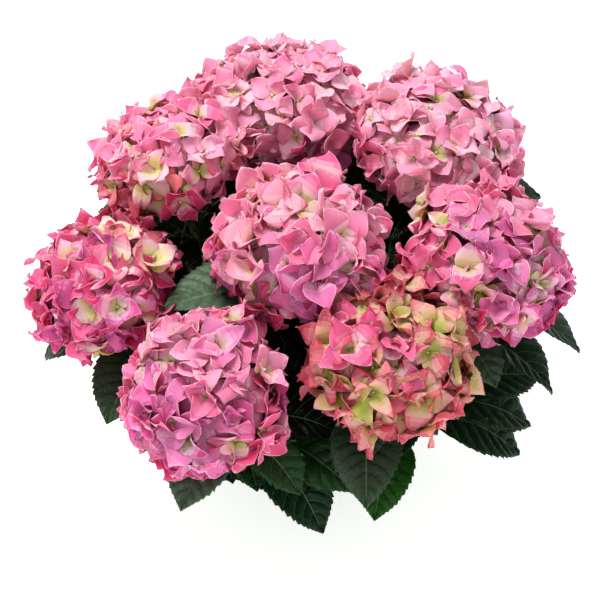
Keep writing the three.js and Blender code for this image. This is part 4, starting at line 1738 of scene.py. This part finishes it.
        # The cross-section in the sepal's own frame: folded, rolled back at its edges and waved.
        cross_rise = np.abs(half) * np.sin(fold) - SEPAL.roll_back * np.abs(half) * v**2 + wave
        cross_out = half * np.cos(fold)
        pitch = steep + bend * u
        lift = cross_rise * np.cos(twist) + cross_out * np.sin(twist)
        wide = cross_out * np.cos(twist) - cross_rise * np.sin(twist)
        wide = wide + self.sway(SEPAL.sickle, many) * length * u**2
        along = along - lift * np.sin(pitch)
        rise = rise + lift * np.cos(pitch) + upper * SEPAL.step
        normal = np.repeat(f.normals, SEPALS, axis=0)
        side = square_off(normal)
        across = cross(normal, side)
        angle = (np.repeat(f.spins, SEPALS) + (np.arange(many) % SEPALS) * math.tau / SEPALS
                 + np.radians(self.sway(SEPAL.turn_sway, many)[:, 0, 0]))[:, None]
        forward = side * np.cos(angle) + across * np.sin(angle)
        level = side * np.sin(angle) - across * np.cos(angle)
        return (np.repeat(f.places, SEPALS, axis=0)[:, None, None]
                + forward[:, None, None] * along[..., None]
                + level[:, None, None] * wide[..., None]
                + normal[:, None, None] * rise[..., None])

    def sepal_finishes(self, cells_along: int, cells_across: int) -> Whole:
        """Works out the finish of every face of every sepal.

        Args:
            cells_along: cells from base to tip.
            cells_across: cells from edge to edge.

        Returns:
            The finish numbers, each sepal's upper side first.
        """
        f, rng = self.florets, self.rng
        many = len(f.places) * SEPALS
        u = ((np.array(SEPAL.rows)[1:] + np.array(SEPAL.rows)[:-1]) / 2)[None, :, None]
        warm = np.isin(f.hues, [Hue.CORAL.value, Hue.CREAM.value])
        # The rim cells: paler on cool hues as a painted highlight along the edge, deeper on warm hues as
        # their own tint.
        rim = np.zeros((1, cells_along, cells_across))
        rim[:, :, [0, -1]] = TINT.side_rim
        rim[:, -1, :] = TINT.tip_rim
        rim = rim * each_sepal(np.where(warm, TINT.warm_rim, TINT.cool_rim_highlight))
        slope = each_sepal(np.where(warm, TINT.warm_slope, TINT.cool_slope))
        level = each_sepal(f.levels) + rng.normal(0, TINT.sepal_sway, many)[:, None, None]
        dither = rng.uniform(-TINT.row_sway, TINT.row_sway, (many, cells_along, 1))
        across = (np.linspace(-1, 1, cells_across) ** 2)[None, None, :]
        outward = u - TINT.level_at + TINT.edge_lead * across
        blade = np.clip(np.rint(level + slope * outward - rim + dither), HEART_SHADES, SHADES - 1)
        sway = rng.uniform(-TINT.heart_sway, TINT.heart_sway, many)
        reach = each_sepal(f.hearts) * (1 + sway)[:, None, None]
        inward = u / np.maximum(reach * (TINT.heart_middle - TINT.heart_edge * across), TINY)
        blend = rng.uniform(0, TINT.heart_blend, (many, cells_along, 1))
        heart = np.floor(inward / TINT.heart_end * HEART_SHADES + blend)
        shade = np.minimum(blade, heart).astype(int)
        first = each_sepal(f.hues) * SHADES
        above, below = first + shade, first + np.maximum(shade - 1, 0)
        return np.concatenate([above.reshape(many, -1), below.reshape(many, -1)], axis=1).ravel()

    def build(self, sepals: Sequence[bpy.types.Material], eye: bpy.types.Material,
              ray: bpy.types.Material) -> None:
        """Makes the head's pieces.

        Args:
            sepals: the sepal shades.
            eye: the buds' finish.
            ray: the rays' finish.
        """
        rows, columns = len(SEPAL.rows), len(SEPAL.columns)
        skin = skin_faces(rows, columns)
        points = sheet_points(self.sepal_grids(), skin, SEPAL.thickness)
        petals = Sheaf()
        petals.add(points, repeated(skin.faces, points.shape[1], len(points)),
                   self.sepal_finishes(rows - 1, columns - 1))
        node = f"bloom_{self.row.name}"
        settle(petals.piece(f"petals_{self.row.name}", sepals), "petal", node)
        eyes = Sheaf()
        self.add_eyes(eyes)
        settle(eyes.piece(f"eyes_{self.row.name}", [eye]), "petal", node)
        rays = Sheaf()
        self.add_rays(rays)
        settle(rays.piece(f"rays_{self.row.name}", [ray]), "leaf", node)

    def add_eyes(self, sheaf: Sheaf) -> None:
        """Adds the bud in the middle of every floret.

        Args:
            sheaf: what they are added to.
        """
        f = self.florets
        heights = np.array(EYE_BUD.heights)[None, :, None]
        centres = f.places[:, None] + f.normals[:, None] * heights
        sizes = 1 + self.rng.uniform(-EYE_BUD.sway, EYE_BUD.sway, len(f.places))
        points, faces = tube(centres, sizes[:, None] * np.array(EYE_BUD.radii), EYE_BUD.sides)
        sheaf.add(points, repeated(faces, len(EYE_BUD.heights) * EYE_BUD.sides, len(f.places)))

    def add_rays(self, sheaf: Sheaf) -> None:
        """Adds the head's stalk, its branches and a thin stalk to every floret.

        Args:
            sheaf: what they are added to.
        """
        head, f, half_width = self.head, self.florets, self.row.half_width
        top = head.centre + head.axis * head.half_height * RAYS.stalk_top
        line = np.linspace(0, 1, RAYS.stalk_rings)[:, None]
        radii = np.linspace(*RAYS.stalk_radii, RAYS.stalk_rings)
        sheaf.add(*tube(head.neck + (top - head.neck) * line, radii, RAYS.stalk_sides))
        x, y, high = self.knots().T
        knots = head.centre + RAYS.branch_out * head.place(
            x * half_width, y * half_width, high * head.half_height)
        lowest, above = RAYS.branch_feet
        feet = head.neck + (top - head.neck) * (lowest + above * (high[:, None] + 1) / 2)
        rise = np.array(RAYS.core_heights)[:, None]
        sheaf.add(*tube(head.centre + head.axis * head.half_height * rise,
                        half_width * np.array(RAYS.core_radii), RAYS.core_sides))
        self.add_curves(sheaf, feet, knots, RAYS.branch_radius, RAYS.branch_sides, RAYS.branch_rings)
        apart = np.linalg.norm(f.places[:, None] - knots[None], axis=-1)
        self.add_curves(sheaf, knots[apart.argmin(axis=1)], f.places - f.normals * RAYS.sunk,
                        RAYS.pedicel_radius, RAYS.pedicel_sides, RAYS.pedicel_rings)

    def add_curves(self, sheaf: Sheaf, feet: Array, ends: Array, radius: float, sides: int,
                   rings: int) -> None:
        """Adds round stalks that leave their feet along the head's axis and bend to their ends.

        Args:
            sheaf: what they are added to.
            feet: (n, 3) where they start.
            ends: (n, 3) where they end.
            radius: their radius.
            sides: points round each.
            rings: how many rings each has.
        """
        t = np.linspace(0, 1, rings)[None, :, None]
        reach = np.linalg.norm(ends - feet, axis=1)[:, None, None]
        middle = feet[:, None] + self.head.axis * reach * RAYS.bow
        centres = (1 - t) ** 2 * feet[:, None] + 2 * t * (1 - t) * middle + t * t * ends[:, None]
        points, faces = tube(centres, np.full(rings, radius), sides)
        sheaf.add(points, repeated(faces, sides * rings, len(feet)))


# -------------------------------------------------------- leaves and twigs


@dataclass(frozen=True)
class BladeMake:
    """How a blade is made, with its veins, teeth and quilting.

    Heights and teeth are millimetres, and places are shares of its length or of its half width.
    """

    veins: int
    between: tuple[float, ...]
    columns: tuple[float, ...]
    first_vein: float = 0.07
    last_vein: float = 0.88
    vein_half: float = 0.0034
    vein_reach: float = 0.86
    rib_half: float = 0.02
    arch: float = 0.2
    arch_power: float = 1.15
    tooth: tuple[float, ...] = (0.0, 0.45, 1.0)
    tooth_out: float = 1.9
    tooth_forward: float = 1.6
    tooth_sway: tuple[float, float] = (0.75, 1.2)
    tooth_power: float = 0.35
    tooth_end: float = 4.0  # the teeth fade over the last quarter
    edge: float = 0.99
    base_bulge: float = 0.6
    bulge_power: float = 0.8
    quilt: float = 2.5
    flank_rise: float = 3.5
    flank_power: int = 4
    groove: float = 0.7
    groove_reach: float = 0.07
    thickness: float = 0.5
    fade_power: float = 0.5
    wave: float = 1.8
    wave_power: float = 2.2
    wave_turns: float = 9.0
    wave_shift: float = 1.4
    sway: float = 1.2  # how far the two edges rise and sink against each other
    sway_turns: float = 4.5
    end: float = 0.004
    breadth: float = 1.05
    tip_start: float = 0.8
    tip_narrowing: float = 0.3
    tip_power: float = 1.3
    usual_length: float = 105.0

    def rows(self) -> tuple[Array, Array]:
        """Works out the rows across the blade.

        Returns:
            Their shares along the midrib, and how high the blade bulges at each.
        """
        step = (self.last_vein - self.first_vein) / (self.veins - 1)
        shares, bulge = [self.end, self.first_vein / 2], [0.0, self.base_bulge]
        for k in range(self.veins):
            vein = self.first_vein + k * step
            low, high = vein - self.vein_half, vein + self.vein_half
            reach = min(step, 1 - self.end - vein) - 2 * self.vein_half
            shares += [low, high, *(high + reach * f for f in self.between)]
            bulge += [0.0, 0.0, *(math.sin(math.pi * f) ** self.bulge_power for f in self.between)]
        return np.array([*shares, 1 - self.end]), np.array([*bulge, 0.0])


LARGE_BLADE = BladeMake(8, (0.18, 0.4, 0.6, 0.82), (0.14, 0.36, 0.58, 0.78, 0.92, 1.0))
SMALL_BLADE = BladeMake(7, (0.25, 0.5, 0.75), (0.2, 0.5, 0.8, 1.0))


class BladeMesh:
    """A blade's closed skin for one leaf after another, all made alike."""

    def __init__(self, make: BladeMake) -> None:
        """Works out what all the blades share.

        Args:
            make: how the blades are made.
        """
        self.make = make
        self.shares, self.bulge = make.rows()
        half = np.array(make.columns)
        self.across = np.concatenate([half[::-1], [make.rib_half, -make.rib_half], -half])
        self.skin = skin_faces(len(self.shares), len(self.across))

    def grid(self, leaf: Leaf, rng: np.random.Generator) -> Array:
        """Works out the points of a leaf's upper side.

        Args:
            leaf: the leaf.
            rng: what its waves and teeth are drawn from.

        Returns:
            (1, rows, columns, 3) points.
        """
        make = self.make
        s = self.shares[:, None]
        v = self.across[None, :]
        far = np.abs(v)
        share = s + make.arch * far**make.arch_power * 4 * s * (1 - s)
        flank = np.clip(far * make.flank_rise, 0, 1) * (1 - far**make.flank_power)
        size = leaf.length / make.usual_length
        lift = make.quilt * size * self.bulge[:, None] * flank
        lift = lift - make.groove * np.exp(-((far / make.groove_reach) ** 2)) * np.ones_like(s)
        phase = rng.uniform(0, math.tau, 3)
        fade = np.sin(math.pi * s) ** make.fade_power
        lift = lift + (make.wave * size * fade * far**make.wave_power
                       * np.sin(make.wave_turns * share + phase[0] + make.wave_shift * np.sign(v)))
        lift = lift + make.sway * size * fade * np.sin(make.sway_turns * share + phase[1]) * v
        point = np.clip((share - make.tip_start) / (1 - make.tip_start), 0, 1)
        narrow = make.breadth - make.tip_narrowing * point**make.tip_power
        points = leaf.blade(share, v * narrow, lift)
        turn = (leaf.bend * share)[..., None]
        ahead = leaf.forward * np.cos(turn) - leaf.normal * np.sin(turn)
        order = np.arange(len(self.shares))
        saw = np.array(make.tooth)[order % len(make.tooth)] * rng.uniform(*make.tooth_sway, len(order))
        room = np.sin(math.pi * s) ** make.tooth_power * np.clip(make.tooth_end * (1 - share), 0, 1)
        tooth = saw[:, None] * np.where(far > make.edge, 1.0, 0.0) * room * size
        points += leaf.side * (tooth * np.sign(v) * make.tooth_out)[..., None]
        points += ahead * (tooth * make.tooth_forward)[..., None]
        return points[None]

    def finishes(self, tone: LeafTone) -> Whole:
        """Works out the finish of every face.

        Args:
            tone: the blade's tone.

        Returns:
            The finish numbers, the upper side first.
        """
        order = list(LeafTone)
        rows, columns = len(self.shares) - 1, len(self.across) - 1
        top = np.full((rows, columns), order.index(tone))
        flat = (self.bulge[1:] == 0) & (self.bulge[:-1] == 0)
        middle = np.abs(self.across[1:] + self.across[:-1]) / 2
        top[flat[:, None] & (middle < self.make.vein_reach)[None, :]] = order.index(LeafTone.VEIN)
        top[:, middle < TINY] = order.index(LeafTone.MIDRIB)
        under = np.full(rows * columns, order.index(LeafTone.UNDERSIDE))
        return np.concatenate([top.ravel(), under])

    def add(self, sheaf: Sheaf, leaf: Leaf, tone: LeafTone, rng: np.random.Generator) -> None:
        """Adds a leaf's blade to a sheaf."""
        points = sheet_points(self.grid(leaf, rng), self.skin, self.make.thickness)
        sheaf.add(points, self.skin.faces, self.finishes(tone))


@dataclass(frozen=True)
class TwigRule:
    """Green stems and leaf stalks."""

    steps: int = 30
    sides: int = 10
    node_swell: float = 0.32
    node_reach: float = 0.014
    stalk_sides: int = 6
    stalk_radii: tuple[float, ...] = (2.3, 1.7, 1.45, 1.5, 1.2, 0.85, 0.5)
    stalk_shares: tuple[float, ...] = (0.0, 0.3, 0.75, 1.0)
    sag: float = 1.2
    rib_shares: tuple[float, ...] = (0.25, 0.6, 0.95)
    rib_depth: float = 1.1
    overlap: float = 0.01  # how far the green stem starts below the end of the bark


@dataclass(frozen=True)
class ToneRule:
    """How the leaves without a tone of their own are dealt one."""

    shade_reach: float = 150.0  # leaves whose middle is nearer to the shrub's axis are painted near-black, as its shade
    # Above this height a share of the leaves take the grey green, partly a painted sheen.
    aloft: float = 230.0
    sheen_grey_share: float = 0.5
    deep_share: float = 0.55


TWIG = TwigRule()
TONES = ToneRule()


class Foliage:
    """A shoot's green part: its stem, leaf stalks and blades."""

    def __init__(self, shoot: Shoot, number: int, own: set[int]) -> None:
        """Keeps what is to be built.

        Args:
            shoot: the shoot with its leaves.
            number: the shoot's number, for its seed.
            own: the identities of the leaves that are made large.
        """
        self.shoot = shoot
        self.rng = np.random.default_rng(LEAF.seed + number)
        self.own = own

    def tone(self, leaf: Leaf) -> LeafTone:
        """Deals a leaf's tone: painted shade near the shrub's axis, partly a painted grey sheen high up,
        and deeper below.

        Args:
            leaf: the leaf, which may have a tone of its own.

        Returns:
            The tone.
        """
        if leaf.tone:
            return leaf.tone
        draw = self.rng.random()
        # Painted shade: leaves near the shrub's axis take the near-black of its shadow.
        if math.hypot(leaf.middle[0], leaf.middle[1]) < TONES.shade_reach:
            return LeafTone.SHADE_GREEN
        # Painted light: high leaves are partly dealt the grey green of a sheen.
        if leaf.middle[2] > TONES.aloft:
            return LeafTone.SHEEN_GREY_GREEN if draw < TONES.sheen_grey_share else LeafTone.MID_GREEN
        return LeafTone.DEEP_GREEN if draw < TONES.deep_share else LeafTone.MID_GREEN

    def build(self, large: BladeMesh, small: BladeMesh, tones: Sequence[bpy.types.Material],
              stem: bpy.types.Material) -> None:
        """Makes the pieces.

        Args:
            large: the mesh of the rule's own leaves.
            small: the mesh of the finer ones.
            tones: the leaves' finishes.
            stem: the stem's finish.
        """
        node = f"foliage_{self.shoot.name}"
        blades = Sheaf()
        for leaf in self.shoot.leaves:
            make = large if id(leaf) in self.own else small
            make.add(blades, leaf, self.tone(leaf), self.rng)
        if blades.count:
            settle(blades.piece(f"leaves_{self.shoot.name}", tones), "leaf", node)
        twigs = Sheaf()
        self.add_stem(twigs)
        for leaf in self.shoot.leaves:
            self.add_stalk(twigs, leaf)
        settle(twigs.piece(f"twigs_{self.shoot.name}", [stem]), "leaf", node)

    def add_stem(self, sheaf: Sheaf) -> None:
        """Adds the green stem, swollen where leaves leave it.

        Args:
            sheaf: what it is added to.
        """
        shoot = self.shoot
        along = np.linspace(shoot.bough_end - TWIG.overlap, 1, TWIG.steps)
        radii = shoot.radius(along)
        for place in {leaf.along for leaf in shoot.leaves}:
            radii = radii * (1 + TWIG.node_swell * np.exp(-(((along - place) / TWIG.node_reach) ** 2)))
        sheaf.add(*tube(shoot.path.at(along), radii, TWIG.sides))

    def add_stalk(self, sheaf: Sheaf, leaf: Leaf) -> None:
        """Adds a leaf's stalk and the rib that carries it on below the blade.

        Args:
            sheaf: what they are added to.
            leaf: the leaf.
        """
        shares = np.array(TWIG.stalk_shares)[:, None]
        stalk = leaf.root + (leaf.base - leaf.root) * shares
        sag = np.sin(math.pi * shares) * WORLD_UP * -TWIG.sag
        ribs = np.array(TWIG.rib_shares)
        under = leaf.blade(ribs, np.zeros(len(ribs)), -TWIG.rib_depth)
        line = np.concatenate([stalk + sag, under])
        sheaf.add(*tube(line, np.array(TWIG.stalk_radii), TWIG.stalk_sides))


# -------------------------------------------------------- bark


@dataclass(frozen=True)
class BarkRule:
    """Fissured bark on the canes."""

    sides: int = 16
    steps: int = 36
    relief: float = 0.07
    ridges: int = 5
    drifts: tuple[float, float] = (1.2, 0.6)  # how the ridges wander as they climb, slowly and quickly
    drift_turns: tuple[float, float] = (9.0, 23.0)
    node_swell: float = 0.12
    node_gap: float = 0.36
    node_reach: float = 0.03
    seed: int = 2000


@dataclass(frozen=True)
class StemRule:
    """The short woody stem, as in the frame, with finer rings."""

    height: float = 46.0
    foot_radius: float = 40.0
    neck_radius: float = 27.0
    flare_height: float = 16.0
    shoulder: float = 0.75
    crest_share: float = 0.78
    lobes: int = 5
    lobe_depth: float = 0.1
    lobes_aloft: float = 0.4
    sides: int = 60
    levels: int = 22
    level_power: float = 0.9
    relief: float = 0.022
    fissures: float = 7.5
    fissure_drift: float = 0.05
    roughness: float = 0.8
    seed: int = 3000


BARK_SKIN = BarkRule()
STEM_BLOCK = StemRule()


class Cane:
    """The bare woody part of a shoot."""

    def __init__(self, shoot: Shoot, number: int) -> None:
        """Keeps the shoot, and its number for the seed."""
        self.shoot = shoot
        self.rng = np.random.default_rng(BARK_SKIN.seed + number)

    def build(self, bark: bpy.types.Material) -> None:
        """Makes the piece.

        Args:
            bark: its finish.
        """
        rule, shoot = BARK_SKIN, self.shoot
        along = np.linspace(0, shoot.bough_end, rule.steps)
        angle = np.arange(rule.sides) * math.tau / rule.sides
        phase = self.rng.uniform(0, math.tau, 3)
        drift = sum(much * np.sin(turns * along + start)
                    for much, turns, start in zip(rule.drifts, rule.drift_turns, phase))
        ridge = np.abs(np.sin(rule.ridges / 2 * angle[None] + drift[:, None] + phase[2]))
        rough = self.rng.uniform(-0.5, 0.5, (rule.steps, rule.sides))
        rings = 1 + rule.relief * (ridge - 0.5 + rough)
        past = along[:, None] / shoot.bough_end % rule.node_gap - rule.node_gap / 2
        knots = np.exp(-((past / rule.node_reach) ** 2))
        radii = shoot.radius(along)[:, None] * rings * (1 + rule.node_swell * knots)
        sheaf = Sheaf()
        sheaf.add(*tube(shoot.path.at(along), radii[None], rule.sides))
        settle(sheaf.piece(f"bark_{shoot.name}", [bark]), "bark", f"cane_{shoot.name}")


class ShortStem:
    """The short woody stem at ground level."""

    def __init__(self, rule: StemRule) -> None:
        """Keeps the sizes."""
        self.rule = rule
        self.rng = np.random.default_rng(rule.seed)

    def build(self, bark: bpy.types.Material) -> None:
        """Makes the piece.

        Args:
            bark: its finish.
        """
        r = self.rule
        level = np.linspace(0, 1, r.levels) ** r.level_power * r.height
        flare = np.maximum(0, 1 - level / r.flare_height) ** 2
        angle = np.arange(r.sides) * math.tau / r.sides
        lobe = 1 + r.lobe_depth * (r.lobes_aloft + flare[:, None]) * np.cos(r.lobes * angle)
        over = np.clip((level / r.height - r.shoulder) / (1 - r.shoulder), 0, 1)
        crest = 1 - (1 - r.crest_share) * over**2
        radius = (r.neck_radius + (r.foot_radius - r.neck_radius) * flare) * crest
        fissure = np.abs(np.sin(r.fissures * angle[None] + r.fissure_drift * level[:, None]))
        rough = self.rng.uniform(-0.5, 0.5, (r.levels, r.sides))
        size = radius[:, None] * lobe * (1 + r.relief * (fissure - 1 + rough * r.roughness))
        rings = np.stack([size * np.cos(angle), size * np.sin(angle),
                          level[:, None] + np.zeros_like(size)], axis=-1)
        sheaf = Sheaf()
        sheaf.add(rings, drum_faces(r.levels, r.sides))
        settle(sheaf.piece("bark_short_stem", [bark]), "bark", "short_stem")


# -------------------------------------------------------- studio


@dataclass(frozen=True)
class Lamp:
    """A square soft light that points at the shrub's middle."""

    name: str
    at: tuple[float, float, float]
    size: float
    power: float
    colour: tuple[float, float, float] = (1.0, 1.0, 1.0)


@dataclass(frozen=True)
class View:
    """The camera: what it looks at, from how far and how high, and its lens."""

    target: tuple[float, float, float] = (0.00274, -0.03658, 0.300)
    elevation: float = 48.0
    distance: float = 2.2
    lens: float = 139.7
    sensor: float = 36.0


@dataclass(frozen=True)
class FloorFinish:
    """A plain pale floor with a faint light of its own."""

    roughness: float = 0.8
    grey: float = 0.95
    glow: float = 0.46

    def make(self) -> bpy.types.Material:
        """Makes the material.

        Returns:
            The material.
        """
        nodes = NodeTree("floor", self.roughness)
        nodes.set("Emission Color", WHITE)
        nodes.set("Emission Strength", self.glow)
        nodes.set("Base Color", (self.grey, self.grey, self.grey, 1.0))
        return nodes.material


@dataclass(frozen=True)
class Studio:
    """Floor, light and camera."""

    view: View
    lamps: tuple[Lamp, ...] = (
        Lamp("key", (-0.5, 0.45, 2.3), 0.8, 33.5, (1.0, 0.985, 0.97)),
        Lamp("front", (-0.3, -2.4, 1.6), 1.8, 16.0, (0.99, 0.99, 1.0)),
    )
    floor_reach: float = 30.0
    surround: float = 0.47
    look: str = "High Contrast"
    exposure: float = -0.26

    def build(self) -> None:
        """Makes everything that is not the shrub."""
        self.floor()
        self.lights()
        self.camera()

    def floor(self) -> None:
        """Makes the plain pale floor."""
        mesh = bpy.data.meshes.new("floor")
        reach = self.floor_reach
        mesh.from_pydata([(-reach, -reach, 0), (reach, -reach, 0), (reach, reach, 0), (-reach, reach, 0)],
                         [], [(0, 1, 2, 3)])
        floor = bpy.data.objects.new("floor", mesh)
        bpy.context.scene.collection.objects.link(floor)
        mesh.materials.append(FloorFinish().make())

    def lights(self) -> None:
        """Makes the lamps and the soft surrounding light."""
        scene = bpy.context.scene
        middle = np.array(self.view.target)
        for row in self.lamps:
            light = bpy.data.lights.new(row.name, "AREA")
            light.size = row.size
            light.energy = row.power
            light.color = row.colour
            lamp = bpy.data.objects.new(row.name, light)
            lamp.location = row.at
            lamp.rotation_euler = self.facing(middle - np.array(row.at))
            scene.collection.objects.link(lamp)
        world = bpy.data.worlds.new("studio")
        world.use_nodes = True
        glow = world.node_tree.nodes["Background"]
        glow.inputs["Color"].default_value = WHITE
        glow.inputs["Strength"].default_value = self.surround
        scene.world = world
        scene.view_settings.view_transform = "Standard"
        scene.view_settings.look = self.look
        scene.view_settings.exposure = self.exposure

    def camera(self) -> None:
        """Makes the camera."""
        view = self.view
        rise = math.radians(view.elevation)
        target = np.array(view.target)
        back = np.array([0.0, -math.cos(rise), math.sin(rise)])
        data = bpy.data.cameras.new("camera")
        data.lens = view.lens
        data.sensor_width = view.sensor
        camera = bpy.data.objects.new("camera", data)
        camera.location = target + back * view.distance
        camera.rotation_euler = self.facing(-back)
        bpy.context.scene.collection.objects.link(camera)
        bpy.context.scene.camera = camera

    @staticmethod
    def facing(direction: Array) -> tuple[float, float, float]:
        """Returns the rotation by which a lamp or camera looks along a direction."""
        x, y, z = unit(direction)
        return (math.acos(-z), 0.0, math.atan2(y, x) - math.pi / 2)


# -------------------------------------------------------- the whole


def main() -> None:
    """Builds the shrub and its studio in order."""
    logging.basicConfig(level=logging.INFO, format="%(message)s")
    growth = Growth()
    log.info("%d leaves by the frame's rule", growth.own_count)
    own = {id(leaf) for leaf in growth.grown}
    growth.open_leaves(FINER_OPEN_ROWS, FINER_CLEAR)
    growth.finer_leaves(FINER_CLEAR, FINER_SEED)
    log.info("%d leaves in all", len(growth.grown))
    bark = BARK.make()
    ShortStem(STEM_BLOCK).build(bark)
    for number, shoot in enumerate(growth.shoots):
        Cane(shoot, number).build(bark)
    large, small = BladeMesh(LARGE_BLADE), BladeMesh(SMALL_BLADE)
    tones, stem = LeafFinish().palette(), STEM.make()
    for number, shoot in enumerate(growth.shoots):
        Foliage(shoot, number, own).build(large, small, tones, stem)
    sepals, eye, ray = SepalFinish().palette(), EYE.make(), RAY.make()
    for number in range(len(growth.heads)):
        bloom = Bloom(growth, number)
        bloom.build(sepals, eye, ray)
        log.info("%s: %d florets", bloom.row.name, len(bloom.florets.places))
    Studio(View()).build()


if __name__ == "__main__":
    main()
